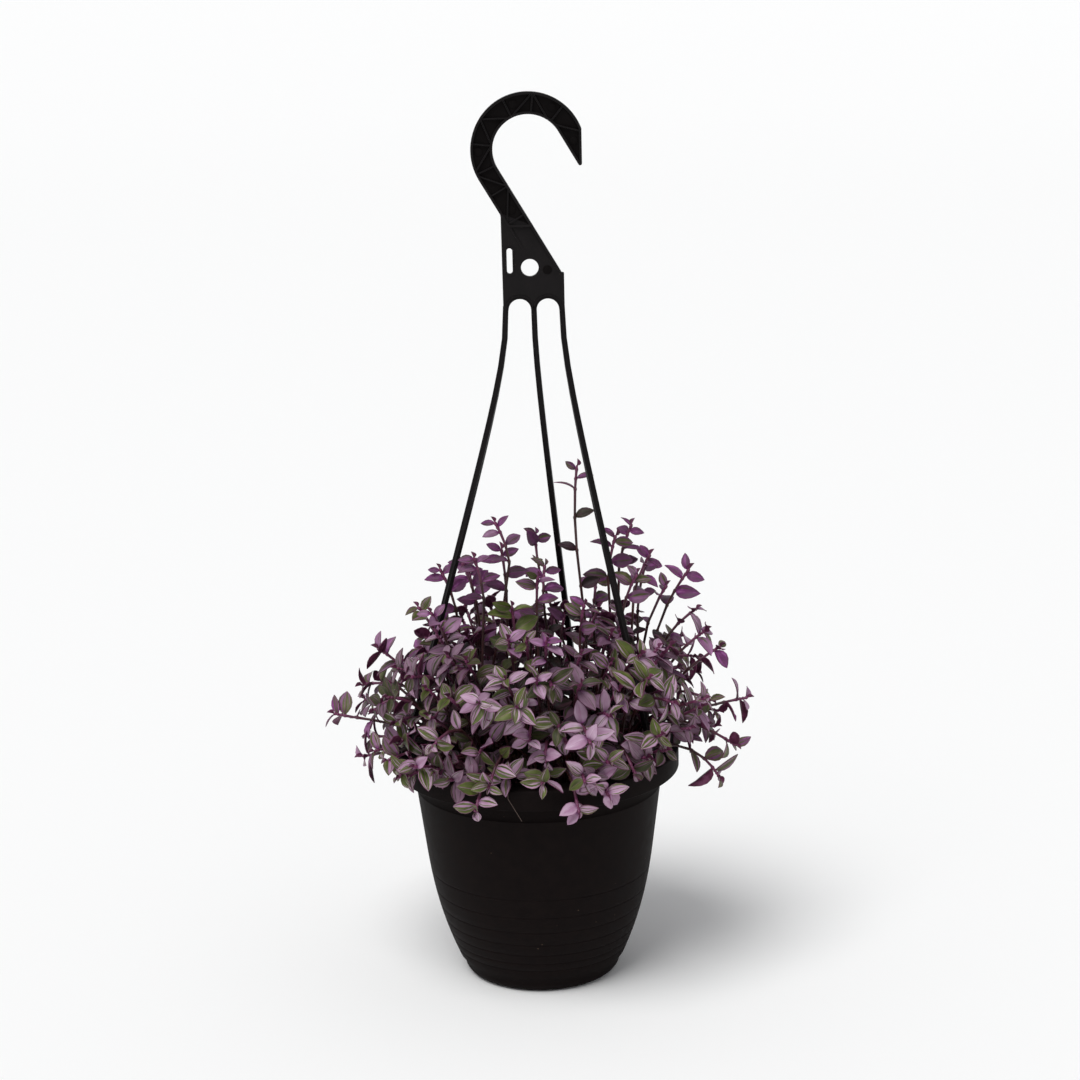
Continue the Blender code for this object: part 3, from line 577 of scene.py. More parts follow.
RIBS = [(on_bend(INNER, turn), on_bend(OUTER, turn)) for turn in (115.5, 84, 50, 172.5, 204)]
RIBS += [
    (on_bend(INNER, inner), on_bend(OUTER, outer))
    for inner, outer in ((115, 84.5), (57, 84), (42, 18), (120, 146), (170.5, 146), (172, 201))
]
RIBS += [
    (on_bend(OUTER, 206), on_shank(0, 0.0097)),
    (on_shank(0, 0.0099), on_shank(1, 0.0099)),
    (on_shank(0, 0.0110), on_shank(1, 0.0259)),
    (on_shank(0, 0.0264), on_shank(1, 0.0264)),
]


def rib(start, stop):
    """A straight rib through the web, narrower at its two crests."""
    (x0, z0), (x1, z1) = start, stop
    run = Vector((x1 - x0, 0, z1 - z0))
    turn = Matrix.Rotation(-math.atan2(run.z, run.x), 4, "Y")
    place = Matrix.Translation(((x0 + x1) / 2, 0, (z0 + z1) / 2)) @ turn
    bm = bmesh.new()
    bmesh.ops.create_cube(bm, size=1.0, matrix=Matrix.Diagonal((run.length, RIB_CREST, RIB_WIDE, 1)))
    through = [e for e in bm.edges if abs(e.calc_length() - RIB_CREST) < 1e-6]
    bmesh.ops.subdivide_edges(bm, edges=through, cuts=1)
    crest = (HOOK_THICK / 2 - RIB_LOW) / (RIB_CREST / 2)
    for vert in bm.verts:
        if abs(vert.co.y) > 1e-6:
            vert.co.y *= crest
            vert.co.z *= RIB_CREST / RIB_WIDE
    bmesh.ops.transform(bm, matrix=place, verts=bm.verts)
    return bm


def round_mark(x, z, radius, depth):
    """A low disc on both sides of the web."""
    bm = bmesh.new()
    facing = Matrix.Translation((x, 0, z)) @ Matrix.Rotation(math.radians(90), 4, "X")
    disc(bm, facing, radius, depth, 28)
    # The marks take finish 1, the recess finish that is darker by painted shade
    for side in bm.faces:
        side.material_index = 1
    return bevelled(bm, 0.00012, 60)


hook_shapes = [hook_body()] + [rib(*ends) for ends in RIBS]
hook_shapes += [round_mark(x, TOP_Z - down, MARK_R, WEB_THICK + 0.0007) for x, down in HOOK_MARKS]
print("hook:", len(RIBS), "ribs and", len(HOOK_MARKS), "round marks")

# %% [markdown]
# ## The plate and the strands
#
# Below the hook the moulding runs out into a thin plate with a round hole and a slot, and the
# plate ends in two arches between three strands. The raised lettering of the real plate is left
# off, and its place is bare. Rims stand round the slot and the arches, where the real moulding is
# thicker. Flat outlines given a thickness make all of these.

# %% Plate of the hanger
PLATE_HALF, PLATE_TOP_Z, PLATE_SIDE_Z, PLATE_LOW_Z = 0.0158, 0.4064, 0.3765, 0.3578
PLATE_THICK = 0.0028
RIDGE_LOW_Z, RIDGE_W = 0.3885, 0.0013
HOLE_X, HOLE_Z, HOLE_R = 0.0017, 0.3794, 0.0045
SLOT_X, SLOT_Z, SLOT_W, SLOT_L = -0.0085, 0.3830, 0.0029, 0.0131
STRAND_PITCH = 0.01435
STRAND_W, STRAND_T = 0.0029, 0.0023
ARCH_R = (STRAND_PITCH - STRAND_W) / 2  # of the two arches between the strands
RIM_PROUD = 0.0004  # how far the rims stand out of the plate


def prism(outline, thick):
    """A flat (x, z) outline given a thickness about Y = 0."""
    bm = bmesh.new()
    face = bm.faces.new([bm.verts.new((x, -thick / 2, z)) for x, z in outline])
    grown = bmesh.ops.extrude_face_region(bm, geom=[face])["geom"]
    far_side = [g for g in grown if isinstance(g, bmesh.types.BMVert)]
    bmesh.ops.translate(bm, vec=(0, thick, 0), verts=far_side)
    outwards(bm)
    return bm


def slot_outline(grow):
    """The slot, made larger all round by that much."""
    half, r = (SLOT_L - SLOT_W) / 2, SLOT_W / 2 + grow
    return arc(SLOT_X, SLOT_Z + half, r, 0, 180, 10) + arc(SLOT_X, SLOT_Z - half, r, 180, 360, 10)


def plate_outline():
    """The plate below the shank, down to the foot of the arches between the strands."""
    left, right = PLATE_X - PLATE_HALF, PLATE_X + PLATE_HALF
    inner = HOOK_IN_R + 0.0003
    points = [shank_edge(HOOK_OUT_R - 0.0002, PLATE_TOP_Z + 0.001), (left, PLATE_TOP_Z - 0.001)]
    points += [(left + 0.0002, PLATE_LOW_Z)]
    for i in (-0.5, 0.5):
        points += arc(PLATE_X + i * STRAND_PITCH, PLATE_LOW_Z, ARCH_R, 180, 0, 24)
    points += [(right, PLATE_LOW_Z), (right, PLATE_SIDE_Z), shank_edge(inner, PLATE_SIDE_Z + 0.0004)]
    return points + [shank_edge(inner, SHANK_LOW_Z + 0.001)]


def plate_rib(radius, width, low_z):
    """A rib that carries an edge of the shank on down the plate, fading into it."""
    outline = [shank_edge(radius, SHANK_LOW_Z + 0.002), shank_edge(radius, low_z)]
    outline += [shank_edge(radius + width, low_z), shank_edge(radius + width, SHANK_LOW_Z + 0.002)]
    bm = prism(outline, HOOK_THICK - 0.0002)
    for vert in bm.verts:
        if vert.co.z < low_z + 0.001:
            vert.co.y *= (PLATE_THICK + 0.0004) / HOOK_THICK
    return bevelled(bm, 0.0002)


def raised_rim(inner, outer):
    """A low rim on both faces of the plate, between two outlines."""
    high = PLATE_THICK / 2 + RIM_PROUD
    levels = ((inner, -high), (outer, -high), (outer, high), (inner, high), (inner, -high))
    return stepped(levels, capped=False)


def arch_rim(middle, radius, width):
    """A strip along an arch, standing as high as the rims."""
    over = arc(middle, PLATE_LOW_Z, radius + width, 180, 0, 24)
    return prism(over + arc(middle, PLATE_LOW_Z, radius, 0, 180, 24), PLATE_THICK + 2 * RIM_PROUD)


plate = put("plate", as_mesh(bevelled(prism(plate_outline(), PLATE_THICK), 0.0003), "plate"))
holes = [prism(slot_outline(0.0), 0.02), prism(arc(HOLE_X, HOLE_Z, HOLE_R, 0, 350, 35), 0.02)]
cut(plate, joined(holes))
plate_bm = bmesh.new()
plate_bm.from_mesh(plate.data)
bpy.data.objects.remove(plate)
hook_shapes += [plate_bm, raised_rim(slot_outline(0.0001), slot_outline(0.0009))]
hook_shapes += [plate_rib(HOOK_IN_R, EDGE, PLATE_SIDE_Z + 0.0006)]
hook_shapes += [plate_rib(HOOK_OUT_R - EDGE - 0.0001, RIDGE_W - 0.0003, RIDGE_LOW_Z)]
hook_shapes += [round_mark(HOLE_X + 0.0089, HOLE_Z - 0.0012, 0.0024, PLATE_THICK + 0.0004)]
for side in (-0.5, 0.5):
    for radius in (ARCH_R + 0.00005, ARCH_R + 0.0013):
        hook_shapes.append(arch_rim(PLATE_X + side * STRAND_PITCH, radius, 0.0006))
print("plate:", len(plate_bm.faces), "faces")

# %% [markdown]
# A strand is swept: its cross-section, with a shallow channel along each face, is extruded from
# station to station, and one matrix puts it in its place at each. It leaves the plate straight
# down, bends outwards, and ends under the rim in a barbed clip. Then all the shapes of the hanger
# become one piece, as they are in the mould.

# %% Strands and the whole hanger
STRAND_STEPS = 16
STRAND_PULL = 1.15  # how much steeper the straight part runs than the line from end to end
GAP = 0.0003
CHANNEL = ((-0.5, -0.5), (-0.24, -0.5), (-0.16, -0.38), (0.16, -0.38), (0.24, -0.5), (0.5, -0.5))


def strand_point(index, fall):
    """A point on a strand, 0 at the plate and 1 at the rim. Its run outwards is a hyperbola in
    the fall: straight down out of the plate, then pulled straight towards its clip."""
    top = Vector((PLATE_X + (index - 1) * STRAND_PITCH, 0.0, PLATE_LOW_Z))
    turn = math.radians(STRAND_AZIMUTHS[index])
    clip = Vector((CLIP_R * math.cos(turn), CLIP_R * math.sin(turn), RIM_TOP))
    bend = (STRAND_PULL**2 - 1) / 2
    out = math.hypot(STRAND_PULL * fall, bend) - bend
    return Vector((top.x + (clip.x - top.x) * out, clip.y * out, top.z + (clip.z - top.z) * fall))


def framed(at, *axes):
    """A matrix at a point, from its three axes."""
    made = Matrix(axes).transposed().to_4x4()
    made.translation = at
    return made


def placed(at, side, ahead, wide, thick):
    """A matrix at a point: its Z runs ahead, its X and Y are scaled to a width and a thickness."""
    side = (side - ahead * side.dot(ahead)).normalized()
    return framed(at, side * wide, ahead.cross(side) * thick, ahead)


def swept(ring, places):
    """A ring of (x, y) points extruded through the places, with a face at both ends."""
    return lofted([[place @ Vector((x, y, 0)) for x, y in ring] for place in places])


def round_ring(sides):
    """A ring of radius 1."""
    turns = [math.tau * i / sides for i in range(sides)]
    return [(math.cos(a), math.sin(a)) for a in turns]


def strand(index):
    """A strand, which turns to face the rim, with the shoulder, neck and barb of its clip."""
    turn = math.radians(STRAND_AZIMUTHS[index])
    sideways = Vector((-math.sin(turn), math.cos(turn), 0))
    if sideways.x < 0:
        sideways.negate()
    shoulder, under = RIM_TOP + GAP, RIM_TOP - WALL - GAP
    down = ahead = Vector((0, 0, -1))
    places = []
    for i in range(STRAND_STEPS + 1):
        at = strand_point(index, i / STRAND_STEPS)
        if at.z < shoulder + 0.004:
            break
        if i:
            before, after = (strand_point(index, (i + half) / STRAND_STEPS) for half in (-0.5, 0.5))
            ahead = (after - before).normalized()
        across = Vector((1, 0, 0)).lerp(sideways, i / STRAND_STEPS)
        lead = Vector((0, 0, 0.002 if i == 0 else 0.0))
        places.append(placed(at + lead, across, ahead, STRAND_W, STRAND_T))
    clip = strand_point(index, 1.0)
    wide, neck, barb = (0.0068, 0.0046), (0.0042, 0.0022), (0.0047, 0.0044)
    ladder = ((shoulder + 0.0030, (STRAND_W, STRAND_T)), (shoulder + 0.0014, wide), (shoulder, wide))
    ladder += ((shoulder, neck), (under, neck), (under, barb), (under - 0.0014, barb))
    for z, (w, t) in ladder + ((under - 0.0042, (0.0026, 0.0012)),):
        places.append(placed(Vector((clip.x, clip.y, z)), sideways, down, w, t))
    ring = CHANNEL + tuple((-x, -y) for x, y in CHANNEL)
    return swept(ring, places)


hook_shapes += [strand(index) for index in range(3)]
hanger_finishes = [hanger_finish, painted_shade_recess_finish]
hanger_mesh = joined(hook_shapes)
hanger = piece("moulded_hanger", hanger_mesh, hanger_finishes, ["hanger"], smooth=32)
print("hanger:", len(hanger.data.polygons), "faces")

# %% [markdown]
# ## How the shoots grow
#
# Every shoot is a rooted cutting that rises from the mix, leans outwards and ends in a rosette of
# four leaves, with single leaves turned round the stem below it. The routine grows them one after
# the other, and keeps each off the pot, off the strands and off the shoots before it. The first
# ones have solids in the frame and repeat them exactly, so that each fine shoot lies where its
# solid lies. Tips that give the plant its outline are given in a list, and the rest spread over a
# ball by the golden angle.

# %% Values for the shoots
SEED = 11
SOLID_SHOOTS = len(solid_shoots)
LEAF_L, LEAF_W = 0.0122, 0.0074
STEM_R = 0.0009
DOME_R, DOME_H, DOME_Z = 0.097, 0.066, 0.131  # the ball of foliage: radius, height, middle
DOME_POWER = 2.7  # 2 is a round ball, and more is squarer
GOLDEN_ANGLE, LEVEL_STEP = 137.508, 0.7548777  # degrees, and a part of the height, from tip to tip
WIDE, CLOSE = 0.0034, 0.0012  # how far shoots keep from one another, solid ones and the others
LEAF_ARCS = (0.0010, 0.0026, 0.0042, 0.0062, 0.0128, 0.0210, 0.0310, 0.0420)  # back from the tip
LEAF_TURNS = (0, 180, 90, 180, 130, 150, 135, 150)  # degrees round the stem from leaf to leaf
LEAF_SIZES = (0.74, 0.86, 1.06, 1.12, 1.08, 1.0, 0.92, 0.86)
TALL_ARCS = (0.0012, 0.0036, 0.0064, 0.0140, 0.0230, 0.0330, 0.0420, 0.0530)
TALL_Z, TALL_LEAVES = 0.200, 5  # a shoot that stands higher than this is bare further down
LANKY_Z, LANKY = 0.260, 2.0  # and above this its leaves stand this many times further apart
LOWER_Z, LOWER_GAP = 0.188, 0.0075  # below this height a stem has leaves all the way, this far apart
HEART_Z = 0.100  # leaves face away from a point on the axis at this height
TALL_FACE = (0.0, -0.75, 0.1)  # but those of a tall shoot face forwards
LIGHT = (0.0, -0.45, 0.40)  # and towards the light, which came from above and in front
ASLANT = (0.31, 0.17, 0.93)  # a direction that no stem runs along

# Shoots whose tips stand out of the ball: the tip's X, Y, Z and the root's X, Y in millimetres, and
# the lean of the tip from upright in degrees
STANDING_OUT = (
    (24, 10, 274, 22, 12, 8), (-20, 0, 247, -24, 4, 30), (-17, 14, 229, -12, 16, 12),
    (-43, 0, 223, -32, 6, 25), (-64, -10, 212, -40, -4, 40), (6, 24, 217, 12, 26, 35),
    (10, 40, 231, 22, 34, 30), (44, 22, 233, 40, 18, 20), (53, 30, 237, 44, 32, 30),
    (62, 14, 224, 50, 10, 35), (83, 20, 214, 52, 20, 40), (98, 2, 176, 54, 2, 60),
    (89, -16, 190, 50, -10, 55), (111, -4, 148, 52, -12, 80), (95, -24, 112, 46, -26, 150),
    (-108, -2, 145, -52, -2, 75), (-86, -22, 130, -48, -14, 100), (-66, -52, 126, -36, -34, 105),
    (-32, -84, 117, -18, -46, 140), (-22, -85, 126, -4, -48, 115), (20, -85, 116, 12, -48, 140),
    (35, -83, 124, 26, -44, 120), (-12, -10, 204, -8, -12, 10), (58, -52, 176, 40, -34, 58),
    (10, 96, 136, 4, 48, 85), (-60, 76, 140, -32, 38, 80), (66, 70, 134, 36, 36, 95),
    (-31, -12, 231, -26, -10, 20), (-50, 14, 219, -36, 14, 30), (-35, 24, 216, -26, 24, 15),
    (-62, 8, 200, -42, 8, 40), (2, -4, 218, 0, -2, 10), (62, 36, 220, 44, 28, 25),
    (54, -4, 218, 42, -4, 30), (71, 20, 204, 48, 16, 35), (86, 6, 196, 52, 6, 45),
    (-84, 6, 178, -51, 6, 60), (-82, -20, 170, -48, -14, 60), (-54, -22, 205, -38, -18, 35),
    (34, 30, 209, 30, 28, 15), (26, -14, 205, 22, -14, 15), (104, -20, 128, 51, -18, 110),
    (80, -34, 160, 46, -24, 70), (84, -42, 132, 44, -30, 100), (-96, -8, 152, -50, -10, 70),
    (-78, -38, 130, -44, -28, 105), (-74, -24, 146, -46, -22, 85), (100, -6, 166, 50, -4, 65),
)
print(len(STANDING_OUT), "tips chosen by hand")

# %% [markdown]
# Leaves may come close but should hardly cross. Space is cut into small cells, and each cell keeps
# the points that lie in it, so that only the neighbours of a new leaf are measured.

# %% Room for the shoots
CELL = 0.006
NEAR = [(i, j, k) for i in (-1, 0, 1) for j in (-1, 0, 1) for k in (-1, 0, 1)]


def cell_of(point):
    """The cell of a point, in a grid of space that makes near things quick to find."""
    return (int(point.x // CELL), int(point.y // CELL), int(point.z // CELL))


def occupy(space, points, margin):
    """Notes points in their cells, each with a margin of its own."""
    for point in points:
        space.setdefault(cell_of(point), []).append((point, margin))


def is_clear(space, points, gap):
    """True where no point lies within the gap, plus its margin, of anything already placed."""
    for point in points:
        x, y, z = cell_of(point)
        for i, j, k in NEAR:
            for other, margin in space.get((x + i, y + j, z + k), ()):
                if (point - other).length < gap + margin:
                    return False
    return True


def off_pot(point, gap):
    """True where the point keeps the gap from the pot and lies above the potting mix."""
    r = math.hypot(point.x, point.y)
    if point.z > RIM_TOP + gap:
        return True
    if r < inside_radius(STEP_Z) - gap:
        return point.z > SOIL_TOP + SOIL_CROWN * 0.2
    if point.z > RIM_TOP - SKIRT_DEPTH - gap:
        return r > RIM_R + gap
    return r > body_radius(point.z) + gap


def is_free(space, points, gap, pot_gap=0.0012):
    """True where the points keep clear of the pot and of anything already placed."""
    return all(off_pot(p, pot_gap) for p in points) and is_clear(space, points, gap)


# %% [markdown]
# A stem is a cubic curve, from upright at its root to the lean of its tip. A leaf is planned as a
# point, two directions and a size: it points away from the stem, and its upper side turns towards
# the light.

# %% Plan of a stem and a leaf
def bezier(points, t):
    """A point on a cubic curve."""
    a, b, c, d = points
    s = 1 - t
    return a * (s * s * s) + b * (3 * s * s * t) + c * (3 * s * t * t) + d * (t * t * t)


def along(path, distance):
    """The point and the direction at a distance back from the end of a path of points."""
    left = distance
    for one, two in zip(reversed(path), reversed(path[:-1])):
        step = (one - two).length
        if left <= step:
            return one.lerp(two, left / step), (one - two).normalized()
        left -= step
    return path[0], (path[1] - path[0]).normalized()


def turn_to_side(path):
    """The turn about the stem's tip that points a leaf sideways, along X."""
    _, tangent = along(path, 0.0)
    across = tangent.cross(Vector(ASLANT)).normalized()
    return math.atan2(tangent.cross(across).x, across.x)


def leaf_at(node, tangent, turn, lean, roll, length, out):
    """A leaf's frame: where it starts, its direction, its upper side and its size."""
    across = tangent.cross(Vector(ASLANT)).normalized()
    side = (across * math.cos(turn) + tangent.cross(across) * math.sin(turn)).normalized()
    ahead = (side * math.sin(lean) + tangent * math.cos(lean)).normalized()
    light = Vector(LIGHT) + tangent * 0.4 + out
    level = (light - ahead * light.dot(ahead)).normalized()
    face = level * math.cos(roll) + ahead.cross(level) * math.sin(roll)
    width = length * LEAF_W / LEAF_L
    return {"node": node, "ahead": ahead, "face": face, "length": length, "width": width}


def leaf_points(leaf):
    """Points spread over a leaf, for keeping clear of others."""
    side = leaf["ahead"].cross(leaf["face"])
    found = []
    for k, spread in ((0.30, 0.30), (0.55, 0.40), (0.80, 0.22)):
        middle = leaf["node"] + leaf["ahead"] * (leaf["length"] * k)
        found += [middle + side * (leaf["width"] * spread * s) for s in (-1, 0, 1)]
    return found + [leaf["node"] + leaf["ahead"] * leaf["length"]]


def stem_path(tip, root, lean, lift):
    """A stem's curve from its root, which rises from the potting mix and leans over to its tip."""
    out = Vector((tip.x, tip.y, 0)).normalized()
    turn = math.radians(lean)
    heading = out * math.sin(turn) + Vector((0, 0, math.cos(turn)))
    reach = (tip - root).length
    pull = 0.36 * reach if lean < 90 else 0.030
    rise = root + Vector((0, 0, 0.42 * reach + lift)) + out * (0.10 * reach)
    bend = (root, rise, tip - heading * pull + Vector((0, 0, lift * 0.7)), tip)
    steps = max(8, round(reach / 0.002))
    return [bezier(bend, i / steps) for i in range(steps + 1)]


# %% [markdown]
# A shoot grows only where its stem finds room, and it tries a few bends. Each leaf that finds none
# is turned on round the stem, and is left out in the end. A shoot needs at least three leaves.

# %% Plan of one shoot
def grow(tip, root, lean, rng, space, gap):
    """One shoot clear of all that is there, or None. Its leaves stand alternately up the stem."""
    size = rng.uniform(0.86, 1.12)
    turn = rng.uniform(0, math.tau)
    tall = tip.z > TALL_Z
    for attempt in range(8):
        path = stem_path(tip, root, lean, 0.004 * attempt)
        stem = path[1:]
        if is_free(space, stem, gap + 0.0006, 0.0016):
            break
    else:
        return None
    out = (tip - Vector((0, 0, HEART_Z))).normalized()
    leaves, own = [], {}
    if tall:
        turn = turn_to_side(path) + rng.uniform(-0.5, 0.5)
        out = Vector(TALL_FACE)
    count = TALL_LEAVES if TALL_Z < tip.z < LANKY_Z else len(LEAF_ARCS)
    apart = LANKY if tip.z > LANKY_Z else 1.0
    arcs = (TALL_ARCS if tall else LEAF_ARCS)[:count]
    for index, (spacing, scale) in enumerate(zip(arcs, LEAF_SIZES)):
        arc_back = spacing * apart
        node, tangent = along(path, arc_back)
        turn += math.radians((180 if tall else LEAF_TURNS[index]) + rng.uniform(-22, 22))
        lean_out = math.radians(rng.uniform(62, 84) - 12 * (index == 0))
        roll = math.radians(rng.gauss(0, 24))
        length = LEAF_L * size * scale * rng.uniform(0.92, 1.08)
        for attempt in range(5):
            leaf = leaf_at(node, tangent, turn + attempt * 1.1, lean_out, roll, length, out)
            points = leaf_points(leaf)
            if is_free(space, points, gap) and is_clear(own, points, 0.0021):
                leaf["arc"] = arc_back
                leaves.append(leaf)
                occupy(own, points, 0.0)
                break
    if len(leaves) < 3:
        return None
    bud, _ = along(path, 0.0)
    occupy(space, stem, 0.0006)
    for leaf in leaves:
        occupy(space, leaf_points(leaf), 0.0)
    occupy(space, [bud], 0.001)
    return {"path": path, "leaves": leaves, "size": size}


# %% [markdown]
# The tips that no hand chose lie over a ball, each turned on from the last by the golden angle, so
# that they make no rows. Where a tip finds no room, it is tried again a little beside its place.
# When all stand, the lower stems get leaves wherever there is still room.

# %% Plan of all the shoots
def ball_of_shoots():
    """Endless (tip, root, lean) for shoots over the ball, by the golden angle so that they spread."""
    index = 0
    while True:
        index += 1
        turn = index * math.radians(GOLDEN_ANGLE)
        level = 0.98 - 1.20 * ((index * LEVEL_STEP) % 1.0)
        forward = max(0.0, -math.sin(turn))
        level = max(level, -0.22 + 0.24 * forward)
        flat = (1 - abs(level) ** DOME_POWER) ** (1 / DOME_POWER)
        front = 1.0 - 0.10 * forward
        depth = (1.0, 0.86, 0.94)[index % 3]
        reach = DOME_R * front * depth * flat
        tip = Vector((reach * math.cos(turn), reach * math.sin(turn), DOME_Z + DOME_H * depth * level))
        root_r = min(0.055, 0.58 * reach + 0.004)
        root = (root_r * math.cos(turn + 0.12), root_r * math.sin(turn + 0.12))
        yield tip, root, 18 + 119 * math.acos(level) / math.pi


def fitted(tip, root, lean, rng, space, gap, tries):
    """A shoot at that tip and root, or a little beside them where they aren't clear, or None."""
    for attempt in range(tries):
        sway = Vector((rng.uniform(-1, 1), rng.uniform(-1, 1), rng.uniform(-1, 1))) * 0.0012 * attempt
        foot = Vector((*root, 0)) + Vector((sway.y, sway.x, 0)) * 1.5
        crown = 1 - (foot.length / (NECK_R - WALL)) ** 2
        foot.z = SOIL_TOP + SOIL_CROWN * max(0.0, crown) + 0.0006
        shoot = grow(tip + sway, foot, lean, rng, space, gap)
        if shoot:
            return shoot
    return None


def lower_leaves(shoot, rng, space):
    """Leaves further down a stem, which fill the inside of the plant."""
    path = shoot["path"]
    total = sum((b - a).length for a, b in zip(path, path[1:]))
    out = (path[-1] - Vector((0, 0, HEART_Z))).normalized()
    back, turn = shoot["leaves"][-1]["arc"], rng.uniform(0, math.tau)
    while back < total - 2 * LOWER_GAP:
        back += LOWER_GAP
        turn += math.radians(rng.uniform(110, 160))
        node, tangent = along(path, back)
        lean, roll = math.radians(rng.uniform(60, 95)), math.radians(rng.gauss(0, 30))
        leaf = leaf_at(node, tangent, turn, lean, roll, LEAF_L * rng.uniform(0.75, 1.0), out)
        points = leaf_points(leaf)
        if node.z < LOWER_Z and is_free(space, points, CLOSE):
            leaf["arc"] = back
            shoot["leaves"].append(leaf)
            occupy(space, points, 0.0)


def plan_shoots(candidates):
    """The shoots in order, each clear of the pot, of the strands and of the shoots before it."""
    rng = random.Random(SEED)
    space = {}
    for index in range(3):
        occupy(space, [strand_point(index, i / 80) for i in range(81)], 0.0020)
    targets = [
        (Vector((x / 1000, y / 1000, z / 1000)), (root_x / 1000, root_y / 1000), lean)
        for x, y, z, root_x, root_y, lean in STANDING_OUT
    ]
    more = ball_of_shoots()
    shoots = []
    for order in range(candidates):
        tip, root, lean = targets.pop(0) if targets else next(more)
        solid = len(shoots) < SOLID_SHOOTS
        shoot = fitted(tip, root, lean, rng, space, WIDE if solid else CLOSE, 10 if solid else 3)
        if shoot:
            shoot["order"] = order
            shoots.append(shoot)
    for shoot in shoots:
        lower_leaves(shoot, rng, space)
    return shoots


CANDIDATES = 420
shoots = plan_shoots(CANDIDATES)
print(len(shoots), "shoots with", sum(len(s["leaves"]) for s in shoots), "leaves")

# %% [markdown]
# ## Leaf and stem finishes
#
# The leaf is variegated: strips of its tissue have no green in them and show pale pink, strips
# with green run beside them from base to tip, and a purple pigment tints the margins, the
# underside and the leaves that stand in the most light. The strips follow the veins, so the
# pattern lives in each leaf's own UV map, across and along, and a noise that is stretched along
# the leaf draws it. Each leaf carries four values of its own in a colour attribute: how purple,
# how green, a random number that shifts the pattern, and how far it is darkened: partly its age
# and partly painted shade on the leaves low on the stems and deep in the plant.


# %% Upper side of a leaf
PALE_STRIPS = ((0.35, "#a87f9d"), (0.55, "#c2a3ba"), (0.72, "#dccbd6"))
PURPLE_STRIPS = ((0.32, "#3f143b"), (0.52, "#72296a"), (0.70, "#a866a4"))
GREEN_STRIPS = ((0.3, "#384016"), (0.55, "#556026"), (0.75, "#7a814a"))


def leaf_upper():
    """The waxy upper side: veins about 0.6 mm apart, strips 1 to 2 mm wide, a satin gloss."""
    made, tree, shader = new_material(
        "variegated_leaf_upper_side", Roughness=0.42, IOR=1.42, Specular_IOR_Level=0.4
    )
    u, v, _ = add(tree, "SeparateXYZ", Vector=add(tree, "UVMap", {"uv_map": "leaf"})).outputs
    tint = add(tree, "Attribute", {"attribute_name": "tint"})
    purple, green, shift = add(tree, "SeparateColor", Color=tint).outputs
    off_u = add(tree, "Math", {"operation": "MULTIPLY_ADD"}, i0=shift, i1=37.0, i2=u)
    place = add(tree, "CombineXYZ", X=off_u, Y=v, Z=shift)
    stretch = add(tree, "VectorMath", {"operation": "MULTIPLY"}, i0=place, i1=(6.6, 0.6, 9.0))
    strips = add(tree, "TexNoise", Vector=stretch, Scale=1.0, Detail=2.5, Roughness=0.55)
    level = add(tree, "Math", {"operation": "MULTIPLY_ADD"}, i0=green, i1=0.46, i2=strips)
    green_here = add(tree, "MapRange", SMOOTH, Value=level, i1=0.655, i2=0.755)
    cloud_at = add(tree, "VectorMath", {"operation": "MULTIPLY"}, i0=place, i1=(2.5, 1.6, 5.0))
    cloud = add(tree, "TexNoise", Vector=cloud_at, Scale=1.0, Detail=3.0)
    pale = add(tree, "ValToRGB", stops=PALE_STRIPS, Fac=cloud)
    tinted = add(tree, "ValToRGB", stops=PURPLE_STRIPS, Fac=cloud)
    blush = add(tree, "MapRange", Value=cloud, i1=0.3, i2=0.7, i3=-0.2, i4=0.25)
    base = add(tree, "MapRange", SMOOTH, Value=v, i1=0.0, i2=0.36, i3=0.85, i4=0.0)
    blushed = add(tree, "Math", {"operation": "ADD"}, i0=base, i1=blush)
    purpled = add(tree, "Math", {"operation": "ADD", "use_clamp": True}, i0=purple, i1=blushed)
    pink = add(tree, "Mix", COLORS, Factor=purpled, A=pale, B=tinted)
    leaf_green = add(tree, "ValToRGB", stops=GREEN_STRIPS, Fac=cloud)
    dulled = add(tree, "Mix", COLORS, Factor=0.12, A=leaf_green, B=tinted)
    toned = add(tree, "Mix", COLORS, Factor=purpled, A=leaf_green, B=dulled)
    striped = add(tree, "Mix", COLORS, Factor=green_here, A=pink, B=toned)
    centred = add(tree, "Math", {"operation": "SUBTRACT"}, i0=u, i1=0.5)
    sideways = add(tree, "Math", {"operation": "ABSOLUTE"}, i0=centred)
    margin = add(tree, "MapRange", SMOOTH, Value=sideways, i1=0.42, i2=0.50, i4=0.75)
    edged = add(tree, "Mix", COLORS, Factor=margin, A=striped, B=color("#7c4868"))
    midrib = add(tree, "MapRange", SMOOTH, Value=sideways, i1=0.0, i2=0.03, i3=0.45, i4=0.0)
    ribbed = add(tree, "Mix", COLORS, Factor=midrib, A=edged, B=color("#9c5684"))
    dimmed = {**COLORS, "blend_type": "MULTIPLY"}
    # The tint's alpha darkens the leaf: partly age, partly painted shade low on the stem and deep in
    # the plant
    aged_and_shaded = add(tree, "Mix", dimmed, Factor=tint.outputs["Alpha"], A=ribbed, B=color("#5b3d42"))
    spread = add(tree, "Math", {"operation": "MULTIPLY"}, i0=u, i1=82.0)
    veins = add(tree, "Math", {"operation": "SINE"}, i0=spread)
    relief = add(tree, "Bump", Strength=0.35, Distance=0.00015, Height=veins)
    wire(tree, shader, Base_Color=aged_and_shaded, Normal=relief)
    return made


# %% [markdown]
# The underside and the stem have no strips. The purple pigment lies in blotches under the one, and
# the other is pink near its tip and turns maroon as it ages.

# %% Underside of a leaf and skin of a stem
UNDERSIDE_BLOTCHES = ((0.3, "#3c162b"), (0.55, "#5e2846"), (0.75, "#7d4968"))
OLD_SKIN = ((0.3, "#260e0c"), (0.6, "#3c1a1d"), (0.8, "#533430"))
YOUNG_SKIN = ((0.3, "#501c38"), (0.6, "#6f3256"), (0.8, "#8b5776"))


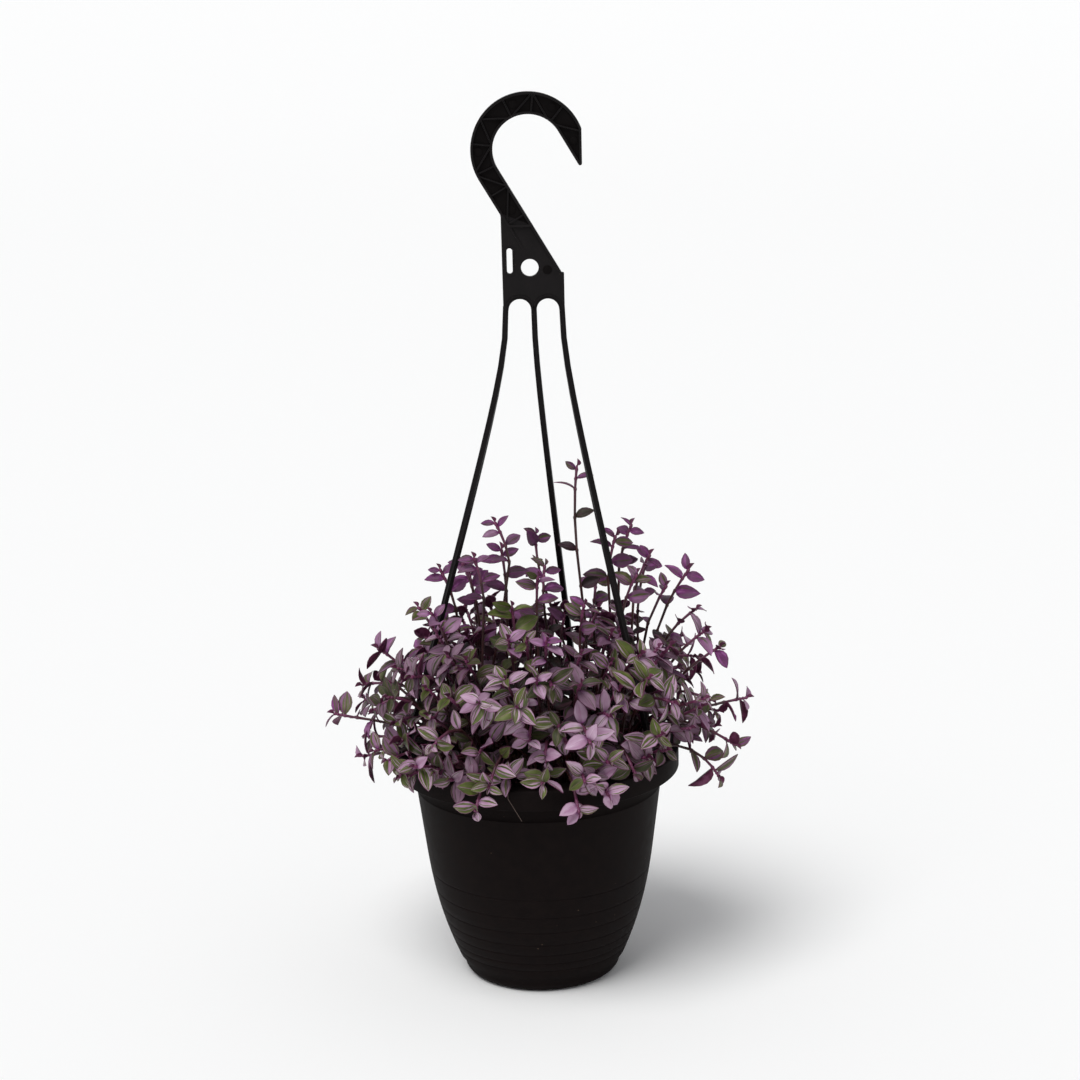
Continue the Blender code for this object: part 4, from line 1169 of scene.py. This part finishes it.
def leaf_under():
    """The underside, where the purple pigment lies: matter than the top and blotched."""
    made, tree, shader = new_material("purple_leaf_underside", Roughness=0.55, Specular_IOR_Level=0.3)
    place = add(tree, "TexCoord").outputs["Object"]
    blotch = add(tree, "TexNoise", Vector=place, Scale=220.0, Detail=3.0)
    wire(tree, shader, Base_Color=add(tree, "ValToRGB", stops=UNDERSIDE_BLOTCHES, Fac=blotch))
    return made


def stem_skin():
    """The juicy stem: pink when young and maroon later, smooth enough to shine a little."""
    made, tree, shader = new_material("maroon_juicy_stem", Roughness=0.4, Specular_IOR_Level=0.4)
    place = add(tree, "TexCoord").outputs["Object"]
    patches = add(tree, "TexNoise", Vector=place, Scale=90.0, Detail=2.0)
    old = add(tree, "ValToRGB", stops=OLD_SKIN, Fac=patches)
    young = add(tree, "ValToRGB", stops=YOUNG_SKIN, Fac=patches)
    # On a stem the tint's alpha holds only its age, from the pink tip down
    age_and_shade = add(tree, "Attribute", {"attribute_name": "tint"}).outputs["Alpha"]
    wire(tree, shader, Base_Color=add(tree, "Mix", COLORS, Factor=age_and_shade, A=young, B=old))
    return made


plant_finishes = [stem_skin(), leaf_upper(), leaf_under()]
print("plant finishes:", ", ".join(finish.name for finish in plant_finishes))

# %% [markdown]
# ## Leaf shapes
#
# A leaf is pointed and egg-shaped, folded a little along its midrib and arched from base to tip.
# A small grid gives it: its rows are narrowed to the outline, then folded and arched, and a
# solidify gives the juicy thickness. A few shapes with different folds serve all the leaves, and
# each copy has only some dozens of faces, because there are over fifteen hundred of them.

# %% Leaf templates
# Fold of each half in degrees, arch of the tip as a part of the length, and lift of the margins
LEAF_FORMS = ((13, 0.16, 0.00), (19, 0.24, 0.02), (25, 0.12, 0.03), (16, 0.34, 0.01), (31, 0.20, 0.02))
BUD_FORM = (62, 0.05, 0.0)
LEAF_ROWS, LEAF_COLUMNS, LEAF_SKIN = 6, 4, 0.032  # the skin's thickness as a part of the length


def half_width(t):
    """Half the leaf's width as a part of its length: an ellipse that ends in a short point."""
    return 0.004 + LEAF_W / LEAF_L / 2 * math.sin(math.pi * t**0.91) ** (0.72 + 0.13 * t)


def leaf_template(fold, arch, lift):
    """A leaf of length 1 along +Y with its upper side up."""
    bm = bmesh.new()
    uv = bm.loops.layers.uv.new("leaf")
    bmesh.ops.create_grid(bm, x_segments=LEAF_COLUMNS, y_segments=LEAF_ROWS, size=0.5)
    for face in bm.faces:
        for corner in face.loops:
            corner[uv].uv = (corner.vert.co.x + 0.5, corner.vert.co.y + 0.5)
    for vert in bm.verts:
        t = vert.co.y + 0.5
        t = t - 0.045 * math.sin(2 * math.pi * t)
        x = vert.co.x * 2 * half_width(min(max(t, 0.0), 1.0))
        rise = abs(x) * math.tan(math.radians(fold)) * (1 - 0.4 * t) + lift * math.sin(t * 5 + x * 9)
        vert.co = (x, t, rise - arch * t * t + arch * 0.35 * t)
    bmesh.ops.solidify(bm, geom=bm.faces, thickness=LEAF_SKIN)
    bmesh.ops.recalc_face_normals(bm, faces=bm.faces)
    for face in bm.faces:
        face.material_index = 1 if face.normal.z > 0.25 else 2
    return as_mesh(bm, "leaf_form")


leaf_forms = [leaf_template(*form) for form in LEAF_FORMS]
bud_form = leaf_template(*BUD_FORM)
print("leaf forms:", len(leaf_forms), "of", len(leaf_forms[0].polygons), "faces")

# %% [markdown]
# ## The shoots
#
# A stem is a small ring swept along the shoot's path, thicker at each node, where a leaf clasps
# it. The leaves are copies of the forms, turned and scaled into place, and a rolled young leaf
# ends each tip. The shoots with a solid are pieces of their own, and the others are gathered in a
# few pieces, so that the plant stays easy to handle.

# %% Stems and leaves
STEM_SIDES, NODE_SWELL = 7, 1.45


def stem(shoot):
    """The stem, thinner towards its tip and swollen at its nodes."""
    path = shoot["path"]
    total = sum((b - a).length for a, b in zip(path, path[1:]))
    stops = {0.0: 0.55}
    for leaf in shoot["leaves"]:
        back = leaf["arc"]
        stops.update({back - 0.0011: 0.75, back: 0.8 * NODE_SWELL, back + 0.0012: 0.85})
    last = max(stops)
    bends = max(2, round((total - last) / 0.008))
    for i in range(1, bends + 1):
        back = last + (total - last) * i / bends
        stops[back] = 1.0
        if i % 2 and i < bends:
            stops.update({back - 0.0014: 0.95, back: NODE_SWELL, back + 0.0014: 0.95})
    across, places = None, []
    for back in sorted(stops):
        at, ahead = along(path, back)
        across = across or ahead.cross(Vector(ASLANT))
        places.append(placed(at, across, -ahead, STEM_R * stops[back], STEM_R * stops[back]))
    return swept(round_ring(STEM_SIDES), places)


def copied(bm, mesh):
    """Copies a mesh into the bmesh, and returns the new vertices and the layer of the tints."""
    before = len(bm.verts)
    bm.from_mesh(mesh)
    bm.verts.ensure_lookup_table()
    return bm.verts[before:], bm.verts.layers.float_color["tint"]


def add_leaf(bm, form, matrix, tint):
    """Adds a leaf of that form, places it and gives it its own tint."""
    fresh, layer = copied(bm, form)
    bmesh.ops.transform(bm, matrix=matrix, verts=fresh)
    for vert in fresh:
        vert[layer] = tint


# %% [markdown]
# No two shoots are quite alike, but light rules their looks: those that stand at the back, at the
# sides or high up are more purple, and the tallest shoots have smaller, darker and less green ones.
# Lower leaves and the shoots deep in the ball are darker, partly for age and partly by painted
# shade. Two tips are special, a plain green one and a large pale one.

# %% Make the shoots
YOUNG_STEM = 0.018  # the last stretch of a stem, still pink
# How far down the stem the leaves begin to darken and where they are dark: partly age, partly painted
# shade under the leaves above
AGE_AND_SHADE_REACH = (0.010, 0.045)  # how far down the stem the leaves begin to dull, and where they are dull
# Painted shade on the shoots of the ball, which lie deeper in the plant than the listed tips
PAINTED_DEPTH_SHADE = (0.15, 0.6, 0.05)  # how dull the shoots of the ball are, in turn, for depth
# Stretches over which light tints the tips purple, in metres, and where the tallest shoots begin
BEHIND_Y, MIDDLE_Z, ASIDE_X, HIGH_Z = (-0.03, 0.06), (0.13, 0.17), (0.06, 0.10), (0.165, 0.215)
TALLEST_Z = (0.19, 0.23)
GREEN_PAIR, PALE_ROSETTE = 22, 23  # of the tips above, a plain green one and a large pale one
GATHERED = 10  # shoots in one piece of inner growth


def smoothstep(low, high, value):
    """0 below low, 1 above high and a soft step between them."""
    t = min(1.0, max(0.0, (value - low) / (high - low)))
    return t * t * (3 - 2 * t)


def grown(bm, shoot, rng):
    """Adds one shoot to the bmesh."""
    mesh = as_mesh(stem(shoot), "stem")
    tip = shoot["path"][-1]
    fresh, layer = copied(bm, mesh)
    for vert in fresh:
        vert[layer] = (0.0, 0.0, 0.0, smoothstep(0.004, YOUNG_STEM, (vert.co - tip).length))
    bpy.data.meshes.remove(mesh)
    mood = rng.uniform(-0.25, 0.3)
    behind = 0.6 * smoothstep(*BEHIND_Y, tip.y) * smoothstep(*MIDDLE_Z, tip.z)
    sunny = behind + 0.6 * smoothstep(*ASIDE_X, abs(tip.x)) + mood
    sunny += 0.6 * smoothstep(*HIGH_Z, tip.z)
    tall = smoothstep(*TALLEST_Z, tip.z)
    leafy = rng.choice((0.15, 0.3, 0.4, 0.5, 0.6)) - 0.2 * tall
    swell = 1.0 if shoot["order"] < len(STANDING_OUT) else 0.95
    swell -= 0.14 * tall
    if shoot["order"] == GREEN_PAIR:
        sunny, leafy, swell = -0.5, 2.0, 1.25
    if shoot["order"] == PALE_ROSETTE:
        sunny, leafy, swell = -0.6, 0.5, 1.4
    # Painted shade on the shoots deep in the ball, plus a darker tone on the tallest shoots
    depth_shade_and_dulling = PAINTED_DEPTH_SHADE[shoot["order"] % 3] if shoot["order"] > len(STANDING_OUT) else 0.0
    depth_shade_and_dulling += 0.35 * tall
    for leaf in shoot["leaves"]:
        side = leaf["ahead"].cross(leaf["face"])
        length = leaf["length"] * swell
        # Each leaf's darkening: the painted shade of its shoot, and further down the stem partly age,
        # partly painted shade
        age_and_shade = min(1.0, depth_shade_and_dulling + smoothstep(*AGE_AND_SHADE_REACH, leaf["arc"]))
        wide = length * rng.uniform(0.84, 1.02)
        foot = leaf["node"] + leaf["ahead"] * 0.0003
        matrix = framed(foot, side * wide, leaf["ahead"] * length, leaf["face"] * length)
        purple = min(0.9, max(-0.5 if leafy > 1.5 else 0.0, sunny + rng.uniform(-0.25, 0.25)))
        green = min(1.5, max(0.0, leafy + rng.uniform(-0.25, 0.25)))
        add_leaf(bm, rng.choice(leaf_forms), matrix, (purple, green, rng.random(), age_and_shade))
    at, ahead = along(shoot["path"], 0.0)
    side = ahead.cross(Vector(ASLANT)).normalized()
    long = 0.0040 * shoot["size"]
    foot = at - ahead * 0.0004
    matrix = framed(foot, side * long * 0.8, ahead * long, side.cross(ahead) * long)
    add_leaf(bm, bud_form, matrix, (min(1.0, max(0.0, sunny + 0.3)), 0.4, rng.random(), 0.0))


def shoot_piece(name, members, replaced, rng):
    """One piece from one or more shoots."""
    bm = bmesh.new()
    bm.loops.layers.uv.new("leaf")
    bm.verts.layers.float_color.new("tint")
    for shoot in members:
        grown(bm, shoot, rng)
    return piece(name, bm, plant_finishes, replaced, smooth=60)


leaf_rng = random.Random(3)
for shoot, node in zip(shoots, solid_shoots):
    shoot_piece(f"leafy_{node}", [shoot], [node], leaf_rng)
inner_shoots = shoots[len(solid_shoots) :]
starts = range(0, len(inner_shoots), GATHERED)
for number, start in enumerate(starts, 1):
    members = inner_shoots[start : start + GATHERED]
    shoot_piece(f"inner_growth_{number:02d}", members, [], leaf_rng)
print("inner growth:", len(inner_shoots), "shoots in", len(starts), "pieces")

# %% [markdown]
# A thin dry root hangs from a stem over the front of the flange. It is a hair of a tube, swept
# from the nearest stem down to its free end, and it is paler than anything round it.

# %% The dry root
ROOT_KNEE, ROOT_END = Vector((-0.0154, -0.0772, 0.1214)), Vector((-0.0087, -0.0765, 0.1091))
ROOT_R = 0.00015
root_finish = new_material("dry_root_fibre", Base_Color=color("#54463f"), Roughness=0.8)[0]
root_top = min((p for shoot in shoots for p in shoot["path"]), key=lambda p: (p - ROOT_KNEE).length)
root_line = [root_top, root_top.lerp(ROOT_KNEE, 0.6), ROOT_KNEE]
root_line += [ROOT_KNEE.lerp(ROOT_END, 0.5), ROOT_END]
root_places = [
    placed(at, Vector((1, 0, 0)), (after - before).normalized(), ROOT_R, ROOT_R)
    for before, at, after in zip([root_line[0]] + root_line, root_line, root_line[1:] + [root_line[-1]])
]
piece("dry_root", swept(round_ring(5), root_places), [root_finish], smooth=80)
root_long = (root_top - ROOT_KNEE).length + (ROOT_KNEE - ROOT_END).length
print("dry root:", round(root_long * 1000), "mm long")
